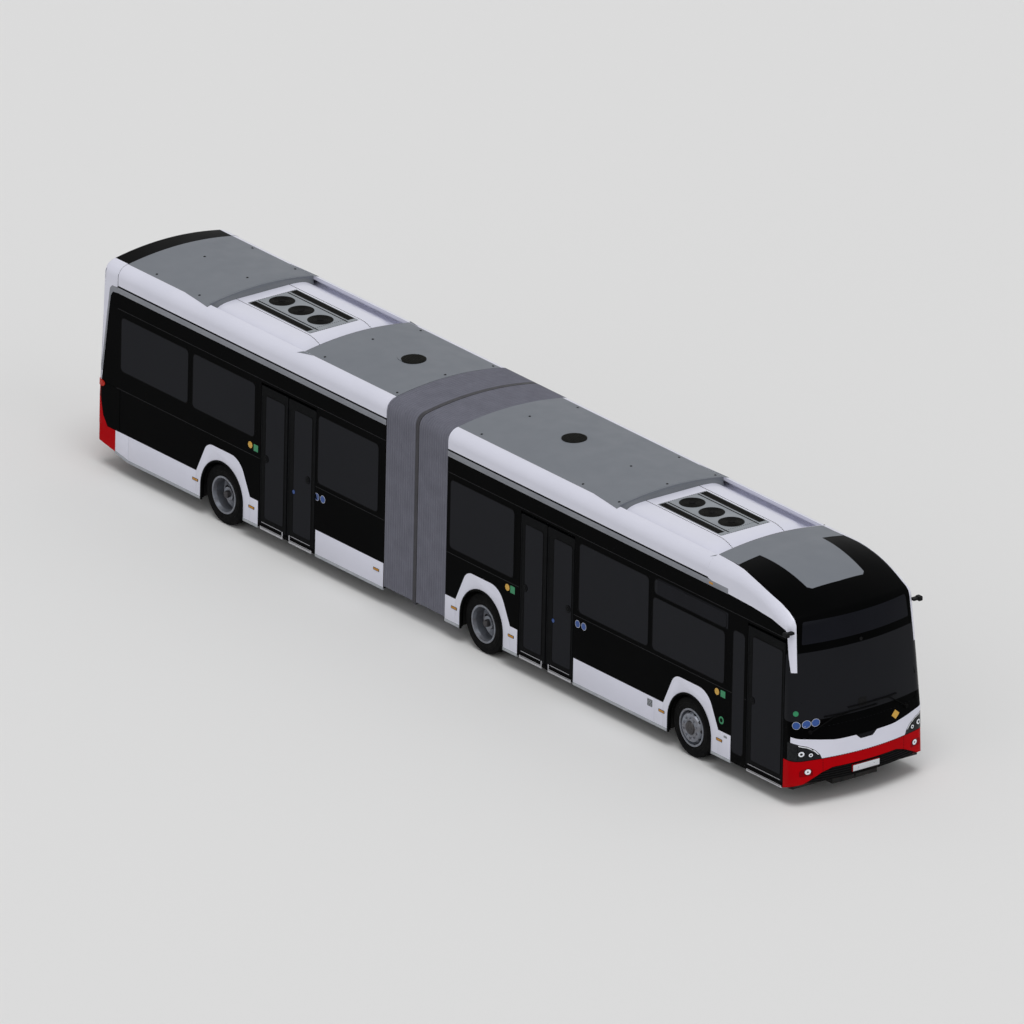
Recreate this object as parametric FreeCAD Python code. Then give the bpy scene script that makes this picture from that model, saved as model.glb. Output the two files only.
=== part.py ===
import FreeCAD, Part
import math
import os

# Low-floor articulated city bus. Millimetres; +X forward, +Y to the left, +Z up.
# The origin is on the ground under the middle of the bus's length.

V = FreeCAD.Vector
os.makedirs("parts", exist_ok=True)

# Driving dimensions: the whole bus
bus_width = 2550              # at the skirt's lower edge
roof_height = 3530            # over the roof covers, on the centre line
skirt_height = 285            # lower edge of the side walls
side_lean = 1.39              # degrees, each side wall leans in towards the roof
front_overhang = 2855         # nose to the front axle
front_wheelbase = 5350
rear_wheelbase = 6760
rear_overhang = 3295          # rear axle to the tail
pivot_setback = 1730          # from the middle axle back to the articulation's pivot
bellows_length = 1600

# Body shell
wall_thickness = 55
corner_radius = 200           # plan corners, cove and nose edge
roof_crown_radius = 5680      # across the bus
cap_radius = 3065             # the roof's fall towards the nose, seen from the side
cap_length = 1850             # where that fall starts, back from the nose
nose_radius = 3861            # bow of the front, in plan
tail_radius = 25000
tail_edge_radius = 80         # round the whole tail face
nose_lean = 6.2               # degrees, the windscreen leans back
tail_lean = 2.5
knee_height = 1150            # where the upright lower front meets the leaning windscreen
cove_base = 3120              # seam between the side walls and the roof coves
nose_joint = 455              # from the nose back to the joint between walls and nose
nose_rise = 105               # the nose's lower edge climbs this much, over the next length
nose_rise_run = 300
tail_joint = 510
tail_skirt_rise = 150         # the skirt's edge climbs this much towards the tail
tail_rise_start = 855         # from the tail forward to where that climb begins

# Floor and underframe
floor_top = 325
floor_thickness = 40
beam_bottom = 190
beam_offset = 390
beam_width = 80
cross_pitch = 1150
axle_bay = 150                # half the gap in the beams that each axle passes through
deck_top = 465                # raised rear deck, behind the climb of the skirt
deck_overlap = 35

# Wheels
wheel_centre = 490            # loaded radius, ground to the axle line
tyre_width = 280
tyre_inset = 50               # the tyres' outer faces inside the skirt line
bead_radius = 290
bead_clearance = 2
rim_flange_radius = 308
rim_lip = 16                  # the flange, measured across the tyre
rim_inner_radius = 262
rim_wall = 12
twin_gap = 50
arch_radius = 530             # opening in the side wall
housing_radius = 563          # wheel housing, inside
housing_wall = 12
front_housing_width = 675     # from the tyres' outer faces in to the housings' inner sides
twin_housing_width = 697
kingpin_inset = 225           # inside the tyres' outer faces
kingpin_radius = 30
running_clearance = 0.05
stub_radius = 40

# Doors
door_sill = 345
door_head = 2700
leaf_gap = 8
meeting_gap = 20              # between a pair of leaves
leaf_bottom = 355
leaf_top = 2655
leaf_face = 2                 # how far the leaf's face lies behind the wall's
leaf_thickness = 40
door_glass_bottom = 460
door_glass_top = 2515
hinge_inset = 20              # from the leaf's outer edge to its hinge line
hinge_pin_radius = 8
hinge_pin_seat = 22           # how deep the pins' holes in the sill and the head are
hinge_pin_end_gap = 2

# Glass
glass_face = 3
glass_thickness = 8
window_radius = 60

# Roof
cove_width = 260              # from the skirt line in to the roof tray
tray_floor = 3265
tray_thickness = 40
cover_thickness = 12
dome_radius = 200
dome_rise = 10
unit_inset = 275              # sides of the cooling units inside the skirt line
unit_top = 3420
unit_edge_radius = 125
unit_nose_radius = 135        # the fairing's rounded front end
fan_radius = 210
fan_pitch = 500
first_fan_setback = 540
fan_plate_half_width = 475
fan_plate_rise = 8

# Articulation
disc_radius = 780
disc_thickness = 15
hoop_width = 80
hoop_depth = 60
bellows_wall = 50
bellows_bottom = 310
bellows_lip_width = 445       # the bellows' lower lips, in from the skirt line
ring_radius = 560
ring_gap = 5
turntable_pin_radius = 110
rear_ring_thickness = 45
front_ring_thickness = 45

# Places that follow from those
bus_length = front_overhang + front_wheelbase + rear_wheelbase + rear_overhang
nose_x = bus_length / 2
tail_x = -nose_x
front_axle_x = nose_x - front_overhang
mid_axle_x = front_axle_x - front_wheelbase
rear_axle_x = mid_axle_x - rear_wheelbase
pivot_x = mid_axle_x - pivot_setback
tyre_outer_face = bus_width / 2 - tyre_inset      # these are from the centre line
front_housing_inner = tyre_outer_face - front_housing_width
twin_housing_inner = tyre_outer_face - twin_housing_width
kingpin_offset = tyre_outer_face - kingpin_inset
tray_half_width = bus_width / 2 - cove_width
unit_half_width = bus_width / 2 - unit_inset
bellows_lip = bus_width / 2 - bellows_lip_width
front_end_x = pivot_x + bellows_length / 2
rear_end_x = pivot_x - bellows_length / 2
nose_joint_x = nose_x - nose_joint
tail_joint_x = tail_x + tail_joint
floor_bottom = floor_top - floor_thickness
side_slope = math.tan(math.radians(side_lean))
far = bus_width               # longer than any cut needs


# x of a place given by its distance forward of the front, mid or rear axle
def by_front(distance):
    return front_axle_x + distance


def by_mid(distance):
    return mid_axle_x + distance


def by_rear(distance):
    return rear_axle_x + distance


def block(x0, x1, y0, y1, z0, z1):
    return Part.makeBox(x1 - x0, y1 - y0, z1 - z0, V(x0, y0, z0))


def rod(centre, direction, radius, length):
    return Part.makeCylinder(radius, length, V(*centre), V(*direction))


def slab(points, vector):
    # flat polygon through the points, pushed along the vector
    corners = [V(*p) for p in points]
    return Part.Face(Part.makePolygon(corners + corners[:1])).extrude(V(*vector))


def unite(shapes):
    whole = shapes[0]
    if len(shapes) > 1:
        whole = whole.fuse(shapes[1:]).removeSplitter()
    return whole


def mirrored(shape):
    return shape.mirror(V(0, 0, 0), V(0, 1, 0))


def middle(edge):
    return edge.valueAt((edge.FirstParameter + edge.LastParameter) / 2)


def rounded(shape, radius, test):
    return shape.makeFillet(radius, [e for e in shape.Edges if test(middle(e))])


def save(node, shapes):
    solids = [s for shape in shapes for s in shape.Solids]
    shape = solids[0] if len(solids) == 1 else Part.makeCompound(solids)
    print(f"{node:28s} solids {len(solids):3d}  valid {shape.isValid()}  {shape.Volume / 1e6:9.1f} dm3")
    shape.exportStep(f"parts/{node}.step")


# Body envelope: leaning flat sides, a crowned roof that falls away to the nose,
# a bowed front and tail that lean above the knee, and one radius round all the edges.
def crowned_section(x, inset, low):
    crown = roof_crown_radius - inset
    top = roof_height - inset
    edge = top - (crown - math.sqrt(crown ** 2 - bus_width ** 2 / 4))
    half = bus_width / 2
    arc = Part.Arc(V(x, -half, edge), V(x, 0, top), V(x, half, edge)).toShape()
    return Part.Face(Part.Wire([
        arc,
        Part.makeLine(V(x, half, edge), V(x, half, low)),
        Part.makeLine(V(x, half, low), V(x, -half, low)),
        Part.makeLine(V(x, -half, low), V(x, -half, edge)),
    ]))


def roof_limit(inset):
    start = nose_x - cap_length
    hub_z = roof_height - cap_radius
    half = bus_width / 2
    straight = crowned_section(start, inset, 0).extrude(V(tail_x - far - start, 0, 0))
    fall = crowned_section(start, inset, hub_z).revolve(V(start, 0, hub_z), V(0, 1, 0), 60)
    under = slab([(start, -half, 0), (start + far, -half, 0),
                  (start + far, -half, hub_z + far * math.tan(math.radians(30))),
                  (start, -half, hub_z)], (0, bus_width, 0))
    return straight.fuse([fall, under]).removeSplitter()


def end_limit(inset, end_x, sense, radius, lean):
    face_x = end_x - sense * inset
    bow = rod((face_x - sense * (radius - inset), 0, -far), (0, 0, 1), radius - inset, 3 * far)
    bow.rotate(V(face_x, 0, knee_height), V(0, 1, 0), -sense * lean)
    outer = sorted((end_x / 2, end_x + sense * far))
    return block(outer[0], outer[1], -far, far, 0, far * 2).common(bow)


def half_envelope(inset, upper):
    low, high = (knee_height, far * 2) if upper else (skirt_height - 100, knee_height)
    half_low, half_high = [bus_width / 2 - inset - (z - skirt_height) * side_slope for z in (low, high)]
    start = tail_x - far
    shape = slab([(start, -half_low, low), (start, half_low, low),
                  (start, half_high, high), (start, -half_high, high)], (bus_length + 2 * far, 0, 0))
    lean = (nose_lean, tail_lean) if upper else (0, 0)
    ends = [end_limit(inset, nose_x, 1, nose_radius, lean[0]),
            end_limit(inset, tail_x, -1, tail_radius, lean[1]),
            block(tail_x / 2, nose_x / 2, -far, far, 0, far * 2)]
    shape = shape.common(unite(ends))
    if upper:
        shape = shape.common(roof_limit(inset))
    shape = shape.removeSplitter().Solids[0]
    inner_side = bus_width / 2 - 100 - inset
    margin = 40

    def is_corner(p):
        upright = p.x > nose_x * 0.9 and abs(p.y) > inner_side
        return upright and low + margin < p.z < cove_base + 100

    def is_roof_edge(p):
        at_side = abs(p.y) > inner_side and p.z > cove_base + 100
        at_end = p.x > nose_x * 0.94 and abs(p.y) < inner_side and p.z > knee_height + 1000
        return at_side or at_end

    shape = rounded(shape, corner_radius - inset, lambda p: is_corner(p) or (upper and is_roof_edge(p)))
    return rounded(shape, tail_edge_radius - inset,
                   lambda p: p.x < tail_x * 0.97 and low + margin < p.z < high - margin)


envelopes = {}


def envelope(inset):
    # lower and upper half of the body, moved inwards by the inset
    if inset not in envelopes:
        envelopes[inset] = [half_envelope(inset, upper) for upper in (False, True)]
    return envelopes[inset]


def skin(region, outside, inside):
    # the part of a region that lies between two depths below the body's surface
    layers = []
    for outer, inner in zip(envelope(outside), envelope(inside)):
        layer = region.common(outer)
        if layer.Volume > 1:
            layers.append(layer.cut(inner))
    return unite([layer for layer in layers if layer.Volume > 1])


def within(region, inset):
    return unite([s for s in (region.common(half) for half in envelope(inset)) if s.Volume > 1])


# Side walls. Windows and doors are cut by prisms that run across the bus.
def side_prism(x0, x1, z0, z1, radius, side):
    y0, y1 = (-far, -bus_width / 4) if side == "right" else (bus_width / 4, far)
    prism = block(x0, x1, y0, y1, z0, z1)
    edges = [e for e in prism.Edges if abs(middle(e).y - (y0 + y1) / 2) < 1]
    return prism.makeFillet(radius, edges)


# Windows: section, side, rear and front edge, bottom, top
over_mid = (by_mid(-770), by_mid(840))
over_rear = (by_rear(-690), by_rear(890))
behind_rear = (tail_x + 720, by_rear(-860))
by_bellows = (by_rear(2590), rear_end_x - 120)
windows = [
    ("front", "right", *over_mid, 1530, 2660),
    ("front", "right", by_mid(2560), by_front(-1050), 1510, 2660),
    ("front", "right", by_front(-900), by_front(900), 1510, 2380),
    ("front", "right", by_front(-870), by_front(940), 2440, 2690),
    ("front", "right", by_front(1150), by_front(1410), 470, 2490),
    ("rear", "right", *behind_rear, 1760, 2660),
    ("rear", "right", *over_rear, 1750, 2650),
    ("rear", "right", *by_bellows, 1520, 2650),
    ("front", "left", *over_mid, 1530, 2660),
    ("front", "left", by_mid(1000), by_mid(2400), 1530, 2660),
    ("front", "left", by_mid(2560), by_front(-1050), 1510, 2660),
    ("front", "left", by_front(-900), by_front(900), 1510, 2660),
    ("front", "left", by_front(1100), by_front(2250), 1250, 2490),
    ("rear", "left", *behind_rear, 1760, 2660),
    ("rear", "left", *over_rear, 1750, 2650),
    ("rear", "left", by_rear(1050), by_rear(2420), 1520, 2650),
    ("rear", "left", *by_bellows, 1520, 2650),
]

# Doorways on the right: section, rear and front edge
front_doorway = (by_front(1440), by_front(2400))
mid_doorway = (by_mid(970), by_mid(2360))
rear_doorway = (by_rear(990), by_rear(2430))
doorways = [("front", *front_doorway), ("front", *mid_doorway), ("rear", *rear_doorway)]

# Door leaves: node, section, rear and front edge, the frame's width behind and ahead of the glass,
# edge with the hinge
mid_meeting = mid_doorway[0] + 690
rear_meeting = rear_doorway[0] + 710
door_leaves = [
    ("front_door_leaf", "front", front_doorway[0] + leaf_gap, front_doorway[1] - leaf_gap, 112, 62, "start"),
    ("mid_door_rear_leaf", "front", mid_doorway[0] + leaf_gap, mid_meeting - meeting_gap / 2, 102, 100, "start"),
    ("mid_door_front_leaf", "front", mid_meeting + meeting_gap / 2, mid_doorway[1] - leaf_gap, 150, 52, "end"),
    ("rear_door_rear_leaf", "rear", rear_doorway[0] + leaf_gap, rear_meeting - meeting_gap / 2, 112, 80, "start"),
    ("rear_door_front_leaf", "rear", rear_meeting + meeting_gap / 2, rear_doorway[1] - leaf_gap, 140, 92, "end"),
]

section_ends = {"front": (front_end_x, nose_joint_x), "rear": (tail_joint_x, rear_end_x)}
axles = {"front": front_axle_x, "mid": mid_axle_x, "rear": rear_axle_x}
section_axles = {"front": ("front", "mid"), "rear": ("rear",)}


def arch_cut(axle_x, radius, y0, y1):
    # wheel opening: round over the axle, straight down to below the skirt
    arch = rod((axle_x, y0, wheel_centre), (0, 1, 0), radius, y1 - y0)
    return arch.fuse(block(axle_x - radius, axle_x + radius, y0, y1, 0, wheel_centre)).removeSplitter()


def tail_wedge():
    # lifts the skirt's edge towards the tail
    start = tail_x + tail_rise_start
    return slab([(start, -far, skirt_height), (tail_x, -far, skirt_height),
                 (tail_x, -far, skirt_height + tail_skirt_rise)], (0, 2 * far, 0))


def hinge_line(leaf, radius, reach):
    # round bar along a leaf's hinge, which leans as the wall does, and reaches into sill and head
    node, section, start, end, behind, ahead, edge = leaf
    x = start + hinge_inset if edge == "start" else end - hinge_inset
    depth = (leaf_face + leaf_thickness) / math.cos(math.radians(side_lean))
    bottom = leaf_bottom - skirt_height
    y = -(bus_width / 2 - depth - bottom * side_slope)
    up = V(0, math.sin(math.radians(side_lean)), math.cos(math.radians(side_lean)))
    low = door_sill - leaf_bottom - reach
    length = door_head + reach - leaf_bottom - low
    return Part.makeCylinder(radius, length, V(x, y, leaf_bottom) + up * low, up)


def side_wall(section, side):
    x0, x1 = section_ends[section]
    y0, y1 = (-far, -bus_width / 4) if side == "right" else (bus_width / 4, far)
    wall = skin(block(x0, x1, y0, y1, skirt_height, cove_base), 0, wall_thickness)
    cuts = [side_prism(*w[2:], window_radius, side)
            for w in windows if w[:2] == (section, side)]
    if side == "right":
        cuts += [block(d[1], d[2], y0, y1, door_sill, door_head) for d in doorways if d[0] == section]
    cuts += [arch_cut(axles[a], arch_radius, y0, y1) for a in section_axles[section]]
    if section == "rear":
        cuts.append(tail_wedge())
    if side == "right":
        cuts += [hinge_line(leaf, hinge_pin_radius + running_clearance, hinge_pin_seat)
                 for leaf in door_leaves if leaf[1] == section]
    return wall.cut(cuts)


def side_glass(section):
    panes = []
    for w in windows:
        if w[0] == section:
            prism = side_prism(*w[2:], window_radius, w[1])
            panes.append(skin(prism, glass_face, glass_face + glass_thickness))
    return panes


for section in ("front", "rear"):
    for side in ("right", "left"):
        save(f"{section}_{side}_wall", [side_wall(section, side)])

# Door leaves, as thick as the whole door, with their panes
leaf_inside = leaf_face + leaf_thickness
between_edges = block(tail_x, nose_x, -far, far, leaf_bottom + 1, leaf_top - 1)
for leaf in door_leaves:
    node, section, start, end, behind, ahead, edge = leaf
    blank = side_prism(start, end, leaf_bottom, leaf_top, 20, "right")
    opening = side_prism(start + behind, end - ahead, door_glass_bottom, door_glass_top, 40, "right")
    frame = skin(blank, leaf_face, leaf_inside).cut(opening)
    pins = hinge_line(leaf, hinge_pin_radius, hinge_pin_seat - hinge_pin_end_gap).cut(between_edges)
    save(node, [unite([frame, pins])])
    save(node.replace("leaf", "glass"), [skin(opening, leaf_face, leaf_face + glass_thickness)])

# Roof: a cove down each side, joined by the tray that carries the covers and units
cap_start_x = by_front(400)


def roof(x0, x1, closed):
    # closed: with a bulkhead across its front end
    region = block(x0, x1, -far, far, cove_base, far * 2)
    coves = skin(region, 0, wall_thickness).cut(
        block(x0, x1, -tray_half_width, tray_half_width, cove_base, far * 2))
    tray = within(block(x0, x1, -far, far, tray_floor - tray_thickness, tray_floor), wall_thickness - 5)
    parts = [coves, tray]
    if closed:
        reach = tray_half_width + 5
        parts.append(within(block(x1 - cover_thickness, x1, -reach, reach, tray_floor - 5, far * 2), 0))
    return unite(parts)


def roof_cover(x0, x1):
    region = block(x0, x1, -tray_half_width, tray_half_width, tray_floor, far * 2)
    lid = skin(region, 0, cover_thickness)
    ends = [within(block(x, x + cover_thickness, -tray_half_width, tray_half_width, tray_floor, far * 2), 5)
            for x in (x0, x1 - cover_thickness)]
    return unite([lid] + ends)


def roof_dome(x):
    base = roof_height - dome_rise
    dome = rod((x, 0, base), (0, 0, 1), dome_radius, dome_rise * 2)
    return rounded(dome, dome_rise / 2, lambda p: p.z > base + dome_rise * 1.9)


def cooling_unit(x0, x1, first_fan_x):
    case = block(x0, x1, -unit_half_width, unit_half_width, tray_floor, unit_top)
    case = rounded(case, unit_nose_radius, lambda p: p.z > unit_top - 1 and p.x > x1 - 1)
    case = rounded(case, unit_edge_radius, lambda p: p.z > unit_top - 1 and abs(p.y) > unit_half_width - 1)
    plate_top = unit_top + fan_plate_rise
    margin = fan_radius + 30
    plate = block(first_fan_x - margin, first_fan_x + 2 * fan_pitch + margin,
                  -fan_plate_half_width, fan_plate_half_width, unit_top - 5, plate_top)
    wells = [rod((first_fan_x + i * fan_pitch, 0, unit_top - 60), (0, 0, 1), fan_radius, 100) for i in range(3)]
    guards = [rod((first_fan_x + i * fan_pitch, 0, unit_top - 60), (0, 0, 1), fan_radius, 50) for i in range(3)]
    return unite([case, plate]).cut(wells).fuse(guards).removeSplitter()


save("front_roof", [roof(front_end_x, cap_start_x, True)])
save("rear_roof", [roof(tail_joint_x, rear_end_x, False)])

# Cooling units, and the covers that fill the rest of the roof. Covers: node, spans, place of the round dome
front_unit = (by_front(-2140), cap_start_x - cover_thickness)
rear_unit = (by_rear(-650), by_rear(1850))
roof_covers = [
    ("front_roof_covers", [(front_end_x, front_unit[0])], by_mid(720)),
    ("rear_roof_covers", [(rear_unit[1], rear_end_x), (tail_joint_x + 5, rear_unit[0])], rear_end_x - 1000),
]
for node, spans, dome in roof_covers:
    shapes = [roof_cover(*span) for span in spans]
    shapes[0] = unite([shapes[0], roof_dome(dome)])
    save(node, shapes)

save("front_cooling_unit", [cooling_unit(*front_unit, front_unit[0] + first_fan_setback)])
save("rear_cooling_unit", [cooling_unit(*rear_unit, rear_unit[0] + first_fan_setback)])

# Nose: the mask with its cap and pillars, windscreen, lower panel, lamps and bumper
bumper_top = 765
screen_bottom = 1290
screen_top = 2995
screen_half_low = bus_width / 2 - 185
screen_half_high = bus_width / 2 - 235
screen_radius = 110
nose_region = block(nose_joint_x, nose_x + far, -far, far, knee_height, far * 2)
cap_region = block(cap_start_x, nose_joint_x, -far, far, cove_base, far * 2)


def across_nose(points, radius, x0, length):
    # prism along the bus through an outline given across it
    prism = slab([(x0, y, z) for y, z in points], (length, 0, 0))
    edges = [e for e in prism.Edges if abs(middle(e).x - (x0 + length / 2)) < 1]
    return prism.makeFillet(radius, edges)


screen_hole = across_nose([(-screen_half_low, screen_bottom), (screen_half_low, screen_bottom),
                           (screen_half_high, screen_top), (-screen_half_high, screen_top)],
                          screen_radius, nose_x - 700, 1400)
mask = skin(nose_region.fuse(cap_region).removeSplitter(), 0, wall_thickness)
save("front_mask", [mask.cut(screen_hole)])
save("windscreen", [skin(screen_hole, glass_face, glass_face + glass_thickness + 4)])

# Headlamp outline across the nose: inwards from the skirt line, up from the ground
lamp_outline = [(95, 785), (95, 1045), (330, 945), (470, 785)]
lamp_holes = [across_nose([(s * (inset - bus_width / 2), z) for inset, z in lamp_outline], 12,
                          nose_joint_x + 60, far) for s in (1, -1)]
panel_region = block(nose_joint_x, nose_x + far, -far, far, bumper_top, knee_height)
save("front_panel", [skin(panel_region, 0, wall_thickness).cut(lamp_holes)])
save("headlamps", [skin(hole, 4, wall_thickness - 5) for hole in lamp_holes])

mouth_depth = 25
plate_width = 520
plate_height = 110
plate_centre = 498
plate_bolt_pitch = 300
plate_bolt_radius = 3
tow_radius = 16.5
tow_length = 90
tow_rise = 45                 # socket above its crossbar's lower face
# Mouth outline, one half: inwards from the skirt line, up from the ground
mouth_outline = [(185, 200), (185, 390), (485, 545), (675, 598)]
mouth_side = [(bus_width / 2 - inset, z) for inset, z in mouth_outline]
mouth = slab([(nose_joint_x, -y, z) for y, z in mouth_side]
             + [(nose_joint_x, y, z) for y, z in reversed(mouth_side)], (far, 0, 0))
rise_start, rise_end = nose_joint_x, nose_joint_x + nose_rise_run
nose_underside = slab([(rise_start, -far, 0), (rise_start, -far, skirt_height),
                       (rise_end, -far, skirt_height + nose_rise),
                       (nose_x + far, -far, skirt_height + nose_rise), (nose_x + far, -far, 0)], (0, 2 * far, 0))
bumper_region = block(nose_joint_x, nose_x + far, -far, far, skirt_height, bumper_top).cut(nose_underside)
bumper = skin(bumper_region, 0, wall_thickness).cut(mouth.cut(envelope(mouth_depth)[0]))
plate_holder = block(nose_x - mouth_depth - 12, nose_x - 6, -plate_width / 2, plate_width / 2,
                     plate_centre - plate_height / 2, plate_centre + plate_height / 2)
bolt_holes = [rod((nose_x - 200, s * plate_bolt_pitch / 2, plate_centre), (1, 0, 0), plate_bolt_radius, 300)
              for s in (1, -1)]
save("front_bumper", [unite([bumper, plate_holder]).cut(bolt_holes)])

# Camera arms that stand in for mirrors, one on each side of the nose
arm_x = by_front(2500)
arm_z = 2850


def camera_arm():
    root = bus_width / 2 - (arm_z - skirt_height) * side_slope
    arm = block(arm_x - 45, arm_x + 35, root - 60, root + 35, arm_z - 18, arm_z + 18)
    pod = block(arm_x - 60, arm_x + 50, root + 30, root + 110, arm_z - 45, arm_z + 32)
    pod = pod.makeFillet(20, pod.Edges)
    return unite([arm, pod]).cut(envelope(0)[1])


save("camera_mirrors", [camera_arm(), mirrored(camera_arm())])

# Tail: wall with its window, bumper with the lower corners, lamps
tail_region = block(tail_x - far, tail_joint_x, -far, far, knee_height, far * 2)
tail_pane_low = bus_width / 2 - 345
tail_pane_high = bus_width / 2 - 395
tail_window = across_nose([(-tail_pane_low, 1750), (tail_pane_low, 1750), (tail_pane_high, 2700),
                           (-tail_pane_high, 2700)], 90, tail_x - 100, 700)
tail_lamp_inset = 165
tail_lamp_width = 110
lamp_columns = [block(tail_x - far, tail_x + 260, s * (bus_width / 2 - tail_lamp_inset) - tail_lamp_width / 2,
                      s * (bus_width / 2 - tail_lamp_inset) + tail_lamp_width / 2, 760, 1380) for s in (1, -1)]
save("rear_wall", [skin(tail_region, 0, wall_thickness).cut([tail_window] + lamp_columns)])
rear_lower = block(tail_x - far, tail_joint_x, -far, far, skirt_height, knee_height)
rear_lower = rear_lower.cut(tail_wedge())
save("rear_bumper", [skin(rear_lower, 0, wall_thickness).cut(lamp_columns)])
save("tail_lamps", [skin(column, 3, wall_thickness - 5) for column in lamp_columns])
save("front_windows", side_glass("front"))
save("rear_windows", side_glass("rear") + [skin(tail_window, glass_face, glass_face + glass_thickness)])


# Underframe: floor with wheel housings over beams and cross members
def wheel_housing(axle_x, inner):
    outer_face = block(axle_x - far, axle_x + far, 0, bus_width / 2, floor_bottom, far)
    shell = arch_cut(axle_x, housing_radius + housing_wall, inner - housing_wall, bus_width / 2 + 50)
    return within(shell.common(outer_face), wall_thickness)


def housing_space(axle_x, inner):
    return arch_cut(axle_x, housing_radius, inner, bus_width)


def beam_pair(x0, x1):
    return [block(x0, x1, s * beam_offset - beam_width / 2, s * beam_offset + beam_width / 2,
                  beam_bottom, floor_bottom) for s in (1, -1)]


def underframe(x0, x1, housings, bays):
    floor = within(block(x0, x1, -far, far, floor_bottom, floor_top), wall_thickness)
    cross_start = x0 + 60
    crosses = math.floor((x1 - cross_start - 120) / cross_pitch)
    members = [block(cross_start + i * cross_pitch, cross_start + i * cross_pitch + 60,
                     -bus_width * 0.44, bus_width * 0.44, floor_bottom - 70, floor_bottom)
               for i in range(crosses + 1)]
    shells = []
    spaces = []
    for axle_x, inner in housings:
        for turn in (lambda s: s, mirrored):
            shells.append(turn(wheel_housing(axle_x, inner)))
            spaces.append(turn(housing_space(axle_x, inner)))
    frame = unite([floor] + members + beam_pair(x0, x1) + shells)
    bay_cuts = [block(x - axle_bay, x + axle_bay, -far, far, 0, floor_bottom) for x in bays]
    return frame.cut(spaces + bay_cuts)


def tow_lug(x, sense, low, high):
    # crossbar with the drawbar socket on the centre line, open outwards
    lo, hi = sorted((x, x - sense * tow_length))
    lug = block(lo, hi, -beam_offset - beam_width / 2, beam_offset + beam_width / 2, low, high)
    return lug, rod((lo - 10, 0, low + tow_rise), (1, 0, 0), tow_radius, tow_length + 20)


tow_setback = 295
front_lug_x = nose_x - tow_setback
deck_start = tail_x + tail_rise_start
front_frame = underframe(front_end_x, nose_x, [(front_axle_x, front_housing_inner), (mid_axle_x, twin_housing_inner)],
                         [front_axle_x, mid_axle_x])
front_lug, front_socket = tow_lug(front_lug_x, 1, beam_bottom, floor_bottom)
front_clear = block(front_lug_x, nose_x, -far, far, 0, floor_top)
save("front_underframe", [unite([front_frame.cut(front_clear), front_lug]).cut(front_socket)])

# Behind the last seats the floor steps up to a deck, with its own beams and socket
deck_end = tail_x + tow_setback
deck_beam_bottom = deck_top - floor_thickness - 90
rear_frame = underframe(deck_start, rear_end_x, [(rear_axle_x, twin_housing_inner)], [rear_axle_x])
deck = within(block(deck_end - 235, deck_start + deck_overlap, -far, far, deck_top - floor_thickness, deck_top),
              wall_thickness)
riser = within(block(deck_start, deck_start + deck_overlap, -far, far, floor_bottom, deck_top), wall_thickness)
deck_beams = [block(deck_end, deck_start + deck_overlap, s * beam_offset - beam_width / 2,
                    s * beam_offset + beam_width / 2, deck_beam_bottom, deck_top - floor_thickness)
              for s in (1, -1)]
rear_lug, rear_socket = tow_lug(deck_end, -1, deck_beam_bottom, deck_top - floor_thickness)
save("rear_underframe", [unite([rear_frame, deck, riser, rear_lug] + deck_beams).cut(rear_socket)])


# Axles: a low beam across the bus, risers beside the aisle, hub tubes or kingpin bosses
drop_top = floor_bottom - 10
riser_width = 60


def axle_links(x):
    return [block(x + a, x + b, s * beam_offset - beam_width / 2 + 5, s * beam_offset + beam_width / 2 - 5,
                  beam_bottom + 10, drop_top)
            for s in (1, -1) for a, b in ((-axle_bay, -70), (70, axle_bay))]


def front_axle():
    x = front_axle_x
    riser_y = kingpin_offset - 340
    parts = [block(x - 75, x + 75, -riser_y - riser_width, riser_y + riser_width, beam_bottom, drop_top)]
    parts += axle_links(x)
    for turn in (lambda s: s, mirrored):
        riser = block(x - 50, x + 50, riser_y, riser_y + riser_width, beam_bottom, wheel_centre + 50)
        arm = block(x - 40, x + 40, riser_y, kingpin_offset, wheel_centre - 45, wheel_centre + 45)
        boss = rod((x, kingpin_offset, wheel_centre - 60), (0, 0, 1), 52, 120)
        bore = rod((x, kingpin_offset, wheel_centre - 70), (0, 0, 1), kingpin_radius + running_clearance, 140)
        parts.append(turn(unite([riser, arm, boss]).cut(bore)))
    return unite(parts)


def twin_axle(x):
    riser_y = twin_housing_inner + 12
    parts = [block(x - 75, x + 75, -riser_y - riser_width, riser_y + riser_width, beam_bottom, drop_top)]
    parts += axle_links(x)
    for turn in (lambda s: s, mirrored):
        riser = block(x - 70, x + 70, riser_y, riser_y + riser_width, beam_bottom, wheel_centre + 110)
        riser = rounded(riser, 60, lambda p: p.z > wheel_centre + 100 and abs(abs(p.x - x) - 70) < 1)
        tube = rod((x, riser_y, wheel_centre), (0, 1, 0), stub_radius, stub_end - riser_y)
        parts.append(turn(riser.fuse(tube)))
    return unite(parts)


def knuckle(x):
    # yoke round the beam's boss, with the kingpin and the stub axle
    outer = kingpin_offset + 60
    ears = [block(x - 45, x + 45, kingpin_offset - 40, outer + 25, z, z + 35)
            for z in (wheel_centre - 105, wheel_centre + 70)]
    back = block(x - 45, x + 45, outer, outer + 25, wheel_centre - 105, wheel_centre + 105)
    pin = rod((x, kingpin_offset, wheel_centre - 115), (0, 0, 1), kingpin_radius, 230)
    stub = rod((x, outer, wheel_centre), (0, 1, 0), stub_radius, stub_end - outer)
    return unite(ears + [back, pin, stub])


stub_end = tyre_outer_face - 60
save("front_axle_beam", [front_axle()])
save("mid_axle", [twin_axle(mid_axle_x)])
save("rear_axle", [twin_axle(rear_axle_x)])
save("knuckle_left", [knuckle(front_axle_x)])
save("knuckle_right", [mirrored(knuckle(front_axle_x))])


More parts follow.
